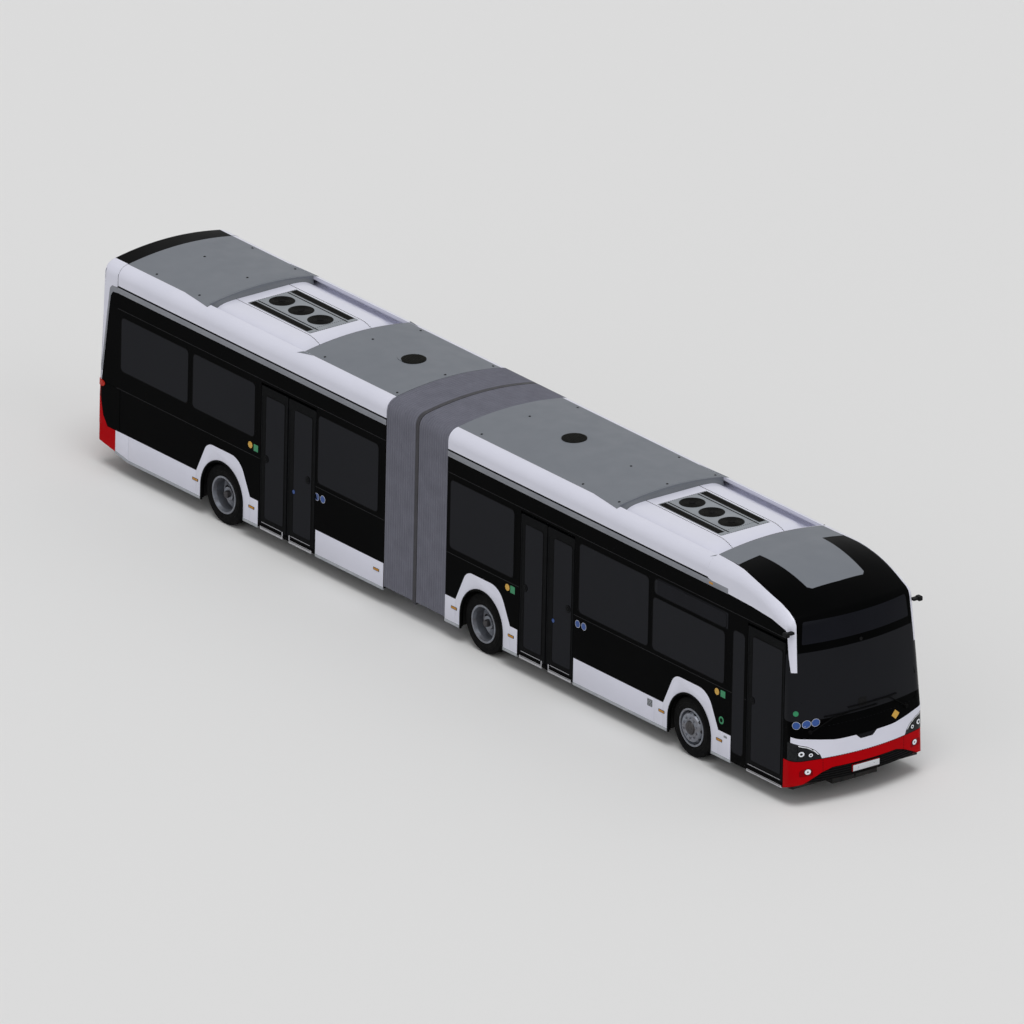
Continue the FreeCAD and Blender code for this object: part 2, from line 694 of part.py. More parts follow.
# Wheels, made about the Y axis through the wheel's centre and then moved to the axle
def turned(profile, x):
    # ring from (y, radius) corners
    face = Part.Face(Part.makePolygon([V(x, y, wheel_centre + r) for y, r in profile + profile[:1]]))
    return face.revolve(V(x, 0, wheel_centre), V(0, 1, 0), 360)


def tyre(x, outer_face):
    inner_face = outer_face - tyre_width
    shoulder = 45
    bead = rim_lip + bead_clearance
    shoulder_foot = rim_flange_radius + bead_clearance
    return turned([(outer_face - bead, bead_radius), (outer_face - bead, shoulder_foot),
                   (outer_face, wheel_centre - 95),
                   (outer_face - shoulder / 3, wheel_centre - 30), (outer_face - shoulder, wheel_centre - 1),
                   (inner_face + shoulder, wheel_centre - 1), (inner_face + shoulder / 3, wheel_centre - 30),
                   (inner_face, wheel_centre - 95), (inner_face + bead, shoulder_foot),
                   (inner_face + bead, bead_radius)], x)


def rim_barrel(x, outer_face):
    inner_face = outer_face - tyre_width
    return turned([(outer_face - 2, rim_flange_radius), (outer_face - rim_lip, rim_flange_radius),
                   (outer_face - rim_lip, bead_radius), (inner_face + rim_lip, bead_radius),
                   (inner_face + rim_lip, rim_flange_radius), (inner_face + 2, rim_flange_radius),
                   (inner_face + 2, bead_radius - rim_wall), (inner_face + 60, rim_inner_radius),
                   (outer_face - 60, rim_inner_radius), (outer_face - 2, bead_radius - rim_wall)], x)


hub_bore = stub_radius + running_clearance


def front_rim(x):
    # disc near the outer face, with the hub standing out of it
    face = tyre_outer_face
    disc = turned([(face - 75, rim_inner_radius + 2), (face - 61, rim_inner_radius + 2), (face - 28, 200),
                   (face - 28, 120), (face - 2, 112), (face - 2, 0), (face - 45, 0),
                   (face - 45, hub_bore), (face - 130, hub_bore), (face - 130, 105),
                   (face - 50, 105), (face - 42, 200)], x)
    return unite([rim_barrel(x, face), disc])


def twin_rims(x):
    # two rims bolted back to back on one hub, the outer one deeply dished
    face = tyre_outer_face
    inner_rim_face = face - tyre_width - twin_gap
    joint = face - tyre_width - twin_gap / 2
    outer_disc = turned([(face - 215, rim_inner_radius + 2), (face - 200, rim_inner_radius + 2),
                         (joint + 14, 190), (joint + 14, 118), (face - 95, 110), (face - 95, 60),
                         (face - 40, 52), (face - 40, 0), (face - 55, 0), (face - 55, hub_bore),
                         (joint - 110, hub_bore), (joint - 110, 118), (joint - 14, 118), (joint - 14, 190),
                         (inner_rim_face - 80, rim_inner_radius + 2),
                         (inner_rim_face - 65, rim_inner_radius + 2), (joint, 200)], x)
    return unite([rim_barrel(x, face), rim_barrel(x, inner_rim_face), outer_disc])


for name, x in axles.items():
    twin = name != "front"
    tyres = [tyre(x, tyre_outer_face)]
    if twin:
        tyres.append(tyre(x, tyre_outer_face - tyre_width - twin_gap))
    rim = twin_rims(x) if twin else front_rim(x)
    plural = "s" if twin else ""
    for side, turn in (("left", lambda s: s), ("right", mirrored)):
        save(f"{name}_{side}_tyre{plural}", [turn(t) for t in tyres])
        save(f"{name}_{side}_rim{plural}", [turn(rim)])


# Articulation: lower ring on the front section, upper ring on the rear one, hoop and disc between
def bellows(x0, x1):
    tube = skin(block(x0, x1, -far, far, bellows_bottom, far * 2), 0, bellows_wall)
    lips = within(block(x0, x1, -far, far, bellows_bottom, bellows_bottom + bellows_wall / 2), 5)
    lips = lips.cut(block(x0, x1, -bellows_lip, bellows_lip, 0, far))
    return unite([tube, lips])


save("bellows_front", [bellows(pivot_x + hoop_width / 2, front_end_x)])
save("bellows_rear", [bellows(rear_end_x, pivot_x - hoop_width / 2)])

hoop_region = block(pivot_x - hoop_width / 2, pivot_x + hoop_width / 2, -far, far, skirt_height, far * 2)
hoop_bar = within(block(pivot_x - hoop_width / 2, pivot_x + hoop_width / 2, -far, far, skirt_height, floor_top), 10)
disc = rod((pivot_x, 0, floor_top), (0, 0, 1), disc_radius, disc_thickness)
save("centre_hoop", [unite([skin(hoop_region, 0, hoop_depth), hoop_bar, disc])])

rear_ring_bottom = skirt_height - ring_gap - rear_ring_thickness
front_ring_bottom = rear_ring_bottom - ring_gap - front_ring_thickness


def turntable(ring_bottom, thickness, end_x):
    ring = rod((pivot_x, 0, ring_bottom), (0, 0, 1), ring_radius, thickness)
    lo, hi = sorted((pivot_x, end_x))
    arm = block(lo, hi, -beam_offset - beam_width / 2, beam_offset + beam_width / 2, ring_bottom,
                ring_bottom + thickness)
    return unite([ring, arm])


pin = rod((pivot_x, 0, front_ring_bottom), (0, 0, 1), turntable_pin_radius,
          rear_ring_bottom + rear_ring_thickness - front_ring_bottom)
pin_bore = rod((pivot_x, 0, front_ring_bottom - 10), (0, 0, 1), turntable_pin_radius + running_clearance, 200)
save("front_turntable", [turntable(front_ring_bottom, front_ring_thickness, front_end_x).cut(pin_bore)])
save("rear_turntable", [unite([turntable(rear_ring_bottom, rear_ring_thickness, rear_end_x), pin])])

# Inside: the driver's place, passenger seats, battery under the rear bench
seat_width = 450
seat_gap = 20
seat_wall_gap = 85            # from the widest line of the bus in to the outer seat
seat_depth = 420
cushion_height = 445
cushion_thickness = 60
back_height = 520
back_thickness = 50
pedestal_width = 90


def seat(x, y, floor_level):
    # seat facing forward; x is the front of the cushion, y the middle
    top = floor_level + cushion_height
    cushion = block(x - seat_depth, x, y - seat_width / 2, y + seat_width / 2, top - cushion_thickness, top)
    back = block(x - seat_depth - back_thickness, x - seat_depth, y - seat_width / 2, y + seat_width / 2,
                 top - cushion_thickness, top + back_height)
    leg = block(x - seat_depth * 0.7, x - seat_depth * 0.3, y - pedestal_width / 2, y + pedestal_width / 2,
                floor_level, top - cushion_thickness)
    return unite([cushion, back, leg])


# Seat pairs: section, sides, front of the first row's cushions, pitch, number of rows
battery_front = deck_start
battery_top = 1650
battery_half_width = bus_width / 2 - 225
seat_blocks = [
    ("front", (1,), by_mid(1350), 760, 4),
    ("front", (-1,), by_front(-2250), 760, 2),
    ("rear", (1,), by_rear(1110), 800, 4),
    ("rear", (-1,), rear_end_x - 1120, 760, 1),
    ("rear", (1, -1), battery_front + 750, 780, 1),
]
seat_row_centre = bus_width / 2 - seat_wall_gap - seat_width - seat_gap / 2


def passenger_seats(section):
    rows = []
    for part, sides, first, pitch, count in seat_blocks:
        if part == section:
            for side in sides:
                for i in range(count):
                    pair = [side * seat_row_centre + s * (seat_width + seat_gap) / 2 for s in (1, -1)]
                    rows += [seat(first + i * pitch, y, floor_top) for y in pair]
    return rows


save("front_seats", passenger_seats("front"))
save("rear_seats", passenger_seats("rear"))
save("traction_battery", [block(tail_joint_x - 180, battery_front, -battery_half_width, battery_half_width,
                                 deck_top, battery_top)])

dash = within(block(by_front(2130), nose_x, -250, bus_width, floor_top, 1120).cut(nose_underside), wall_thickness + 5)
cab_wall = within(block(by_front(700), by_front(730), 320, bus_width, floor_top, 2250), wall_thickness)
driver_seat = seat(by_front(1700), 720, floor_top)
save("driver_cab", [dash, cab_wall, driver_seat])
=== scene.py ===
import bpy, bmesh
from math import radians, sin, cos, tan, pi, sqrt, atan2
from mathutils import Matrix, Vector
from mathutils.bvhtree import BVHTree


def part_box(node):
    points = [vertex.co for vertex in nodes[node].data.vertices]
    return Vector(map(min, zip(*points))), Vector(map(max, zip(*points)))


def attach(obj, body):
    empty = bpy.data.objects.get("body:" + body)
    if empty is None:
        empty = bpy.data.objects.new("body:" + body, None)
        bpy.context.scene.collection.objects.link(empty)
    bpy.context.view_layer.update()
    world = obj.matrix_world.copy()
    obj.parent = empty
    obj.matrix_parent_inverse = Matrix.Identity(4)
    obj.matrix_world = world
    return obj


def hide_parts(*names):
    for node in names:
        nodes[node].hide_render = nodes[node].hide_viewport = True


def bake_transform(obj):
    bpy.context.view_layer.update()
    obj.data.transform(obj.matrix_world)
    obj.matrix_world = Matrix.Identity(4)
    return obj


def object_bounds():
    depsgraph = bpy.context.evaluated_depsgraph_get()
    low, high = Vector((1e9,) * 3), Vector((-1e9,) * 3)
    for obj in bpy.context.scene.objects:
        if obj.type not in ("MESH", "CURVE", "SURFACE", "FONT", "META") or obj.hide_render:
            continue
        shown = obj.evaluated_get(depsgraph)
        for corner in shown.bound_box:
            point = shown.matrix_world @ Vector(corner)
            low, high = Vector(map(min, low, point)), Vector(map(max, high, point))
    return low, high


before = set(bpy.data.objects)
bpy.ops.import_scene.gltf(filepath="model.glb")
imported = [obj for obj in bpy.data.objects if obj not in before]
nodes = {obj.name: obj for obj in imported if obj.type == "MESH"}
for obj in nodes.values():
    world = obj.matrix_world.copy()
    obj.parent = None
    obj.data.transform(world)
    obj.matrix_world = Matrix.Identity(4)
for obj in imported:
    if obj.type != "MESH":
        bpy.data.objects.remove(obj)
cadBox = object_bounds()
print("frame loaded:", len(nodes), "nodes")


# Places that everything else is set from: axles and wall planes, in metres
def middleOf(node):
    low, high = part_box(node)
    return (Vector(low) + Vector(high)) / 2


axleX = {"front": middleOf("front_left_rim").x, "mid": middleOf("mid_left_rims").x,
         "rear": middleOf("rear_left_rims").x}
wheelHeight = middleOf("front_left_rim").z
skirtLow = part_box("front_left_wall")[0][2]
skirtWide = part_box("front_left_wall")[1][1]
sideLean = radians(1.39)
noseX, tailX = cadBox[1][0], cadBox[0][0]
sections, sides = ("front", "rear"), ("right", "left")
frontBody, rearBody = "front_section", "rear_section"


def along(distance):
    return axleX["front"] + distance    # distance forward of the front axle


# Finishes: two close colours, size of their patches, span of the roughness, grain (how fine, how strong), and
# what else sets them apart, such as road dust (up to which height, how much)
finishLooks = {
    "whitePaint": ((0.70, 0.705, 0.81), (0.68, 0.686, 0.79), 1.3, (0.28, 0.38), (240, 0.012),
                   dict(coat=0.2, dust=(0.6, 0.06))),
    "blackGloss": ((0.0009, 0.0010, 0.0011), (0.0015, 0.0016, 0.0018), 0.9, (0.3, 0.4), (200, 0.015),
                   dict(specular=0.012, dust=(0.9, 0.012))),
    "blackPost": ((0.002, 0.0022, 0.0026), (0.003, 0.0034, 0.004), 6, (0.35, 0.5), (300, 0.03),
                  dict(specular=0.03)),
    "frameGrey": ((0.0045, 0.005, 0.006), (0.006, 0.0065, 0.008), 6, (0.4, 0.55), (300, 0.03),
                  dict(specular=0.05)),
    "roofGrey": ((0.168, 0.182, 0.206), (0.176, 0.190, 0.214), 1.1, (0.5, 0.62), (160, 0.03),
                 dict(specular=0.2)),
    # the roof grey darkened for the covers' sloping ends: painted shade
    "rampGrey": ((0.125, 0.135, 0.152), (0.14, 0.15, 0.168), 2, (0.5, 0.62), (160, 0.03), dict(specular=0.2)),
    "fanGrey": ((0.24, 0.26, 0.285), (0.27, 0.29, 0.315), 3, (0.45, 0.6), (220, 0.05), dict(specular=0.3)),
    "stripGrey": ((0.19, 0.20, 0.23), (0.23, 0.24, 0.27), 2, (0.38, 0.55), (260, 0.04), dict()),
    "bumperRed": ((0.44, 0.0012, 0.004), (0.40, 0.0011, 0.0038), 1.7, (0.3, 0.42), (240, 0.02),
                  dict(specular=0.02, dust=(0.55, 0.05))),
    # darker red for the fog lamps' recesses: painted shade in the hollows
    "recessShadeRed": ((0.20, 0.0008, 0.003), (0.24, 0.001, 0.0035), 9, (0.4, 0.5), (240, 0.02),
                  dict(specular=0.03)),
    "sideGlass": ((0.0145, 0.0152, 0.0185), (0.0135, 0.0142, 0.0175), 0.6, (0.12, 0.2), (3, 0.01),
                  dict(specular=0.03)),
    "doorGlass": ((0.0145, 0.0152, 0.0185), (0.0135, 0.0142, 0.0175), 0.7, (0.12, 0.2), (3, 0.01),
                  dict(specular=0.03)),
    "screenGlass": ((0.0105, 0.011, 0.0135), (0.009, 0.0095, 0.012), 0.6, (0.1, 0.18), (2, 0.01),
                    dict(specular=0.06)),
    "displayGlass": ((0.0065, 0.007, 0.0105), (0.0055, 0.006, 0.009), 2, (0.15, 0.25), (4, 0.01),
                     dict(specular=0.05)),
    "lampClear": ((0.006, 0.0065, 0.008), (0.012, 0.013, 0.015), 30, (0.05, 0.12), (90, 0.05),
                  dict(specular=0.14)),
    "lampWhite": ((0.85, 0.87, 0.92), (0.78, 0.80, 0.86), 40, (0.1, 0.2), (200, 0.03), dict()),
    "lampRed": ((0.40, 0.006, 0.006), (0.50, 0.03, 0.01), 35, (0.2, 0.3), (150, 0.15), dict(specular=0.12)),
    "lampAmber": ((0.55, 0.26, 0.02), (0.48, 0.20, 0.01), 60, (0.12, 0.2), (200, 0.1), dict()),
    "frameSteel": ((0.008, 0.008, 0.009), (0.014, 0.0135, 0.013), 3.5, (0.5, 0.8), (90, 0.2),
                   dict(specular=0.2, dust=(0.5, 0.08))),
    "axleSteel": ((0.055, 0.055, 0.06), (0.10, 0.085, 0.07), 9, (0.45, 0.75), (120, 0.3),
                  dict(metal=0.5, dust=(0.6, 0.2))),
    "rimSteel": ((0.23, 0.25, 0.29), (0.17, 0.17, 0.19), 9, (0.3, 0.5), (180, 0.08), dict(metal=0.6)),
    "hubSteel": ((0.040, 0.038, 0.042), (0.060, 0.056, 0.058), 20, (0.4, 0.6), (160, 0.15), dict(metal=0.6)),
    "tyreRubber": ((0.0035, 0.0035, 0.0038), (0.0065, 0.0065, 0.0065), 7, (0.7, 0.9), (140, 0.25),
                   dict(specular=0.06)),
    "bellowsCloth": ((0.140, 0.142, 0.178), (0.122, 0.124, 0.156), 4, (0.7, 0.9), (420, 0.25),
                     dict(specular=0.25, sheen=0.1, weave=True)),
    "hoopMetal": ((0.042, 0.041, 0.047), (0.05, 0.049, 0.056), 5, (0.5, 0.65), (150, 0.08),
                  dict(specular=0.2)),
    "seatPlastic": ((0.10, 0.12, 0.17), (0.085, 0.10, 0.145), 12, (0.45, 0.65), (420, 0.25), dict()),
    "cabPlastic": ((0.045, 0.045, 0.05), (0.035, 0.035, 0.04), 10, (0.5, 0.7), (500, 0.3), dict()),
    "blackPlastic": ((0.004, 0.004, 0.0045), (0.007, 0.007, 0.0075), 12, (0.45, 0.65), (420, 0.2),
                     dict(specular=0.08)),
    "louvreBlack": ((0.007, 0.007, 0.006), (0.009, 0.009, 0.008), 12, (0.5, 0.7), (300, 0.1),
                    dict(specular=0.03)),
    "batteryCase": ((0.13, 0.135, 0.15), (0.16, 0.165, 0.18), 3, (0.4, 0.55), (200, 0.06), dict()),
    "skirtRubber": ((0.40, 0.42, 0.45), (0.33, 0.35, 0.38), 8, (0.6, 0.8), (200, 0.1), dict(specular=0.3)),
    "stepEdge": ((0.48, 0.48, 0.51), (0.40, 0.40, 0.43), 25, (0.35, 0.5), (300, 0.1), dict(metal=0.3)),
    "seamGrey": ((0.02, 0.02, 0.022), (0.03, 0.03, 0.033), 14, (0.5, 0.7), (260, 0.1), dict(specular=0.1)),
    "sealBlack": ((0.0022, 0.0022, 0.0024), (0.0038, 0.0038, 0.004), 14, (0.6, 0.8), (260, 0.1),
                  dict(specular=0.04)),
    "noticeBlue": ((0.005, 0.05, 0.24), (0.008, 0.06, 0.27), 50, (0.3, 0.4), (300, 0.03), dict()),
    "noticeWhite": ((0.62, 0.64, 0.68), (0.56, 0.58, 0.62), 50, (0.3, 0.4), (300, 0.03), dict()),
    "noticeGreen": ((0.008, 0.20, 0.08), (0.01, 0.24, 0.09), 50, (0.3, 0.4), (300, 0.03), dict()),
    "noticeYellow": ((0.62, 0.36, 0.04), (0.55, 0.30, 0.03), 50, (0.3, 0.4), (300, 0.03), dict()),
}
roadDust = dict(colour=(0.20, 0.18, 0.15, 1), low=0.15, patches=14)
bumpHeight, coatRoughness = 0.004, 0.08


def feed(tree, node, sources):
    # sets the sockets of a shader node; each source is a number, a colour or another node's output
    for socket, source in sources:
        if isinstance(source, bpy.types.NodeSocket):
            tree.links.new(source, node.inputs[socket])
        else:
            node.inputs[socket].default_value = source
    return node


def addNode(tree, kind, sources=(), **settings):
    node = tree.nodes.new("ShaderNode" + kind)
    for name, value in settings.items():
        setattr(node, name, value)
    return feed(tree, node, sources)


def makeFinish(name, look):
    colour, shade, patch, rough, (fineness, strength), extras = look
    finish = bpy.data.materials.new(name)
    finish.use_nodes = True
    tree = finish.node_tree
    place = addNode(tree, "TexCoord").outputs["Object"]

    def noise(scale, detail):
        return addNode(tree, "TexNoise",
                       [("Scale", scale), ("Detail", detail), ("Vector", place)]).outputs["Fac"]

    def remap(value, *spans):
        return addNode(tree, "MapRange", enumerate((value, *spans))).outputs[0]

    def times(one, other):
        return addNode(tree, "Math", [(0, one), (1, other)], operation="MULTIPLY").outputs[0]

    def blend(fac, first, second):
        return addNode(tree, "Mix", [(0, fac), (6, first), (7, second)], data_type="RGBA").outputs[2]

    def thread(way):
        return addNode(tree, "TexWave", [("Scale", fineness), ("Vector", place)],
                       bands_direction=way).outputs["Fac"]

    base = blend(remap(noise(patch, 5), 0.35, 0.65, 0, 1), (*colour, 1), (*shade, 1))
    if "dust" in extras:
        top, amount = extras["dust"]
        height = addNode(tree, "SeparateXYZ", [(0, place)]).outputs["Z"]
        patchy = remap(noise(roadDust["patches"], 6), 0.3, 0.7, 0, 1)
        base = blend(times(remap(height, roadDust["low"], top, amount, 0), patchy), base, roadDust["colour"])
    roughness = remap(noise(patch * 3.1, 4), 0.3, 0.7, *rough)
    grain = times(thread("X"), thread("Z")) if "weave" in extras else noise(fineness, 3)
    bump = addNode(tree, "Bump", [("Strength", strength), ("Distance", bumpHeight), ("Height", grain)])
    feed(tree, tree.nodes["Principled BSDF"], [
        ("Base Color", base), ("Roughness", roughness), ("Normal", bump.outputs[0]),
        ("Metallic", extras.get("metal", 0)), ("Specular IOR Level", extras.get("specular", 0.5)),
        ("Coat Weight", extras.get("coat", 0)), ("Coat Roughness", coatRoughness),
        ("Sheen Weight", extras.get("sheen", 0))])
    return finish


finishes = {name: makeFinish(name, look) for name, look in finishLooks.items()}
print("finishes made:", len(finishes))

# Which finish each solid of the frame shows: the first of these words in its name decides
wordFinishes = {
    "roof_covers": "roofGrey", "roof": "whitePaint", "cooling_unit": "whitePaint", "wall": "blackGloss",
    "mask": "blackGloss", "windscreen": "blackGloss", "front_panel": "blackGloss", "bumper": "bumperRed",
    "windows": "sideGlass", "headlamps": "blackPlastic", "mirrors": "blackPlastic", "tail_lamps": "lampRed",
    "underframe": "frameSteel", "turntable": "frameSteel", "axle": "axleSteel", "knuckle": "axleSteel",
    "hoop": "hoopMetal", "bellows": "bellowsCloth", "cab": "cabPlastic", "seats": "seatPlastic",
    "battery": "batteryCase", "tyre": "tyreRubber", "rim": "rimSteel", "leaf": "blackPost",
    "glass": "doorGlass",
}
for node, solid in nodes.items():
    finish = next(finish for word, finish in wordFinishes.items() if word in node)
    solid.data.materials.clear()
    solid.data.materials.append(finishes[finish])
print("solids painted")

# Camera, floor and light
studio = {"azimuth": 53.13, "elevation": 21.75, "frameWidth": 15.90, "lens": 1650, "sensor": 36,
          "aim": (0.036, 0.0, 1.786), "clip": (300, 1500), "floorReach": 260, "floorGrey": 0.80,
          "skyLevel": 0.36, "backdropGrey": 0.86}
scene = bpy.context.scene
scene.view_settings.view_transform = "Standard"


def putIn(name, data):
    thing = bpy.data.objects.new(name, data)
    scene.collection.objects.link(thing)
    return thing


def facing(direction):
    return Vector(direction).to_track_quat("Z", "Y").to_euler()


eye = bpy.data.cameras.new("camera")
eye.lens, eye.sensor_width = studio["lens"], studio["sensor"]
eye.clip_start, eye.clip_end = studio["clip"]
camera = putIn("camera", eye)
lift, turn = radians(studio["elevation"]), radians(studio["azimuth"])
sight = Vector((sin(turn) * cos(lift), -cos(turn) * cos(lift), sin(lift)))
camera.location = Vector(studio["aim"]) + sight * studio["frameWidth"] * studio["lens"] / studio["sensor"]
camera.rotation_euler = facing(sight)
scene.camera = camera

floorMesh = bmesh.new()
bmesh.ops.create_grid(floorMesh, x_segments=8, y_segments=8, size=studio["floorReach"])
ground = bpy.data.meshes.new("floor")
floorMesh.to_mesh(ground)
floorMesh.free()
floor = putIn("floor", ground)
concrete = bpy.data.materials.new("paleFloor")
concrete.use_nodes = True
feed(concrete.node_tree, concrete.node_tree.nodes["Principled BSDF"],
     [("Base Color", (*[studio["floorGrey"]] * 3, 1)), ("Roughness", 0.9)])
ground.materials.append(concrete)

# the sky lights the bus dimly, but shows as a pale backdrop to the camera and in reflections
world = bpy.data.worlds.new("sky")
scene.world = world
world.use_nodes = True
sky = world.node_tree
light = feed(sky, sky.nodes["Background"], [("Color", (1, 1, 1, 1)), ("Strength", studio["skyLevel"])])
seen = addNode(sky, "Background", [("Color", (*[studio["backdropGrey"]] * 3, 1)), ("Strength", 1)])
rays = addNode(sky, "LightPath").outputs
shows = addNode(sky, "Math", [(0, rays["Is Camera Ray"]), (1, rays["Is Glossy Ray"])], operation="MAXIMUM")
mixed = addNode(sky, "MixShader", [(0, shows.outputs[0]), (1, light.outputs[0]), (2, seen.outputs[0])])
feed(sky, sky.nodes["World Output"], [("Surface", mixed.outputs[0])])

lampTable = [("overhead", (0.25, -0.15, 1.0), 1.45, 35), ("side", (0.35, -1.0, 0.45), 0.26, 50),
             ("front", (1.0, 0.10, 0.40), 0.32, 50)]
for name, direction, strength, width in lampTable:
    lamp = bpy.data.lights.new(name, "SUN")
    lamp.energy, lamp.angle = strength, radians(width)
    putIn(name, lamp).rotation_euler = facing(direction)
print("studio set")


# Working helpers
def newPiece(name, shape, finish, body, replaces=(), smooth=32):
    bmesh.ops.recalc_face_normals(shape, faces=shape.faces)
    mesh = bpy.data.meshes.new(name)
    shape.to_mesh(mesh)
    shape.free()
    mesh.shade_smooth()
    mesh.set_sharp_from_angle(angle=radians(smooth))
    piece = putIn(name, mesh)
    for one in [finish] if isinstance(finish, str) else finish:
        mesh.materials.append(finishes[one])
    if body:
        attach(piece, body)
    if replaces:
        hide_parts(*replaces)
    return piece


def addTo(whole, part, place=None, finish=0):
    if place is not None:
        bmesh.ops.transform(part, matrix=place, verts=part.verts)
        if place.determinant() < 0:
            bmesh.ops.reverse_faces(part, faces=part.faces)
    for face in part.faces:
        face.material_index = finish
    spare = bpy.data.meshes.new("spare")
    part.to_mesh(spare)
    part.free()
    whole.from_mesh(spare)
    bpy.data.meshes.remove(spare)


def circle(steps, start=0):
    turns = [2 * pi * (i + start) / steps for i in range(steps)]
    return [(cos(turn), sin(turn)) for turn in turns]


def disc(x, z, radius, steps=28):
    return [(x + radius * c, z + radius * s) for c, s in circle(steps)]


def roundOff(corners):
    # corners as (across, up, radius) turned into one outline with round corners
    steps = 6
    outline = []
    for i, (across, up, radius) in enumerate(corners):
        here = Vector((across, up))
        if not radius:
            outline.append((across, up))
            continue
        back = (Vector(corners[i - 1][:2]) - here).normalized()
        ahead = (Vector(corners[(i + 1) % len(corners)][:2]) - here).normalized()
        half = back.angle(ahead) / 2
        centre = here + (back + ahead).normalized() * (radius / sin(half))
        spokes = [here + way * (radius / tan(half)) - centre for way in (back, ahead)]
        first, last = [atan2(spoke.y, spoke.x) for spoke in spokes]
        turn = (last - first + pi) % (2 * pi) - pi
        for step in range(steps + 1):
            angle = first + turn * step / steps
            outline.append((centre.x + radius * cos(angle), centre.y + radius * sin(angle)))
    return outline


def box(x0, x1, z0, z1, radius=0):
    return roundOff([(x0, z0, radius), (x1, z0, radius), (x1, z1, radius), (x0, z1, radius)])


def flip(line, sign):
    return [(sign * a, b) for a, b in line]


def addFace(part, points):
    part.faces.new([part.verts.new(point) for point in points])


def knit(part, rows):
    # quads between rows with as many points each
    for one, other in zip(rows, rows[1:]):
        for i in range(len(one) - 1):
            part.faces.new((one[i], other[i], other[i + 1], one[i + 1]))


def knitRings(part, rings, closed=True):
    for low, high in zip(rings, rings[1:]):
        for i in range(len(low) if closed else len(low) - 1):
            j = (i + 1) % len(low)
            part.faces.new((low[i], low[j], high[j], high[i]))


def thicken(part, move):
    # closes a sheet into a plate; move is one way for all its points, or one for each
    points, faces = part.verts[:], part.faces[:]
    edges = [e for e in part.edges if len(e.link_faces) == 1]
    twins = {v: part.verts.new(v.co + (move[v] if isinstance(move, dict) else Vector(move))) for v in points}
    for sheet in faces:
        part.faces.new([twins[v] for v in reversed(sheet.verts)])
    for edge in edges:
        one, other = edge.verts
        part.faces.new((one, other, twins[other], twins[one]))
    bmesh.ops.recalc_face_normals(part, faces=part.faces)


def soften(part, edges, width):
    if width:
        bmesh.ops.bevel(part, geom=edges, offset=width, segments=2, profile=0.5, affect="EDGES", material=-1)
    return part


def plate(outline, near, far, soft=0):
    # flat plate in x and up, from near to far along y
    part = bmesh.new()
    addFace(part, [(x, near, z) for x, z in outline])
    thicken(part, (0, far - near, 0))
    return soften(part, [e for e in part.edges if all(abs(v.co.y - far) < 1e-6 for v in e.verts)], soft)


def rim(outer, inner, near, far, closed=True):
    # flat band between two outlines with as many points each
    part = bmesh.new()
    knitRings(part, [[part.verts.new((x, near, z)) for x, z in line] for line in (outer, inner)], closed)
    thicken(part, (0, far - near, 0))
    return part


def lathe(profile, steps, centre=(0, 0, 0), outward=1):
    # profile of (radius, outward) turned about the line across the bus through centre
    part = bmesh.new()
    knitRings(part,
              [[part.verts.new((centre[0] + radius * c, centre[1] + outward * out, centre[2] + radius * s))
                for c, s in circle(steps)] for radius, out in profile])
    bmesh.ops.remove_doubles(part, verts=part.verts, dist=1e-5)
    return part


def bar(points, width, height, up):
    # rectangular bar along a line of points
    part = bmesh.new()
    points = [Vector(p) for p in points]
    loops = []
    for i, point in enumerate(points):
        way = (points[min(i + 1, len(points) - 1)] - points[max(i - 1, 0)]).normalized()
        side = way.cross(Vector(up)).normalized()
        top = side.cross(way).normalized()
        loops.append([part.verts.new(point + side * s * width / 2 + top * t * height / 2)
                      for s, t in ((-1, -1), (1, -1), (1, 1), (-1, 1))])
    knitRings(part, loops)
    part.faces.new(loops[0][::-1])
    part.faces.new(loops[-1])
    return part


def block(low, high, soft=0):
    part = bmesh.new()
    bmesh.ops.create_cube(part, size=1)
    for v in part.verts:
        v.co = Vector([l + (h - l) * (c + 0.5) for l, h, c in zip(low, high, v.co)])
    return soften(part, part.edges[:], soft)


def surface(*names):
    # the named solids as one surface to lay trim on
    points, faces = [], []
    for name in names:
        solid = nodes[name]
        start = len(points)
        points += [solid.matrix_world @ v.co for v in solid.data.vertices]
        faces += [[start + i for i in polygon.vertices] for polygon in solid.data.polygons]
    return BVHTree.FromPolygons(points, faces)


def aimFrom(way, x, y, z):
    # where to look from and which way, to meet the bus from above, in front, behind or one side
    far = {"down": (x, y, 6), "back": (noseX + 1, y, z), "forward": (tailX - 1, y, z), "right": (x, 3, z),
           "left": (x, -3, z)}
    steps = {"down": (0, 0, -1), "back": (-1, 0, 0), "forward": (1, 0, 0), "right": (0, -1, 0),
             "left": (0, 1, 0)}
    return Vector(far[way]), Vector(steps[way])


def drape(outlines, aim, tree, step, lift, thick):
    # lays flat outlines on a surface: aim(u, v) gives where to look from and which way
    part = bmesh.new()
    for outline in outlines:
        addFace(part, [(u, v, 0) for u, v in outline])
    for axis in (0, 1):
        low = min(v.co[axis] for v in part.verts)
        high = max(v.co[axis] for v in part.verts)
        cuts = int((high - low) / step[axis])
        for i in range(1, cuts + 1):
            at, way = [0, 0, 0], [0, 0, 0]
            at[axis], way[axis] = low + (high - low) * i / (cuts + 1), 1
            bmesh.ops.bisect_plane(part, geom=part.verts[:] + part.edges[:] + part.faces[:], plane_co=at,
                                   plane_no=way)
    inward = {}
    for v in part.verts:
        start, way = aim(v.co.x, v.co.y)
        hit, normal = tree.ray_cast(start, way)[:2]
        if hit is None:
            hit, normal = tree.find_nearest(start + way * 2.2)[:2]
        if normal.dot(way) > 0:
            normal = -normal
        v.co = hit + normal * lift
        inward[v] = -normal * thick
    thicken(part, inward)
    return part


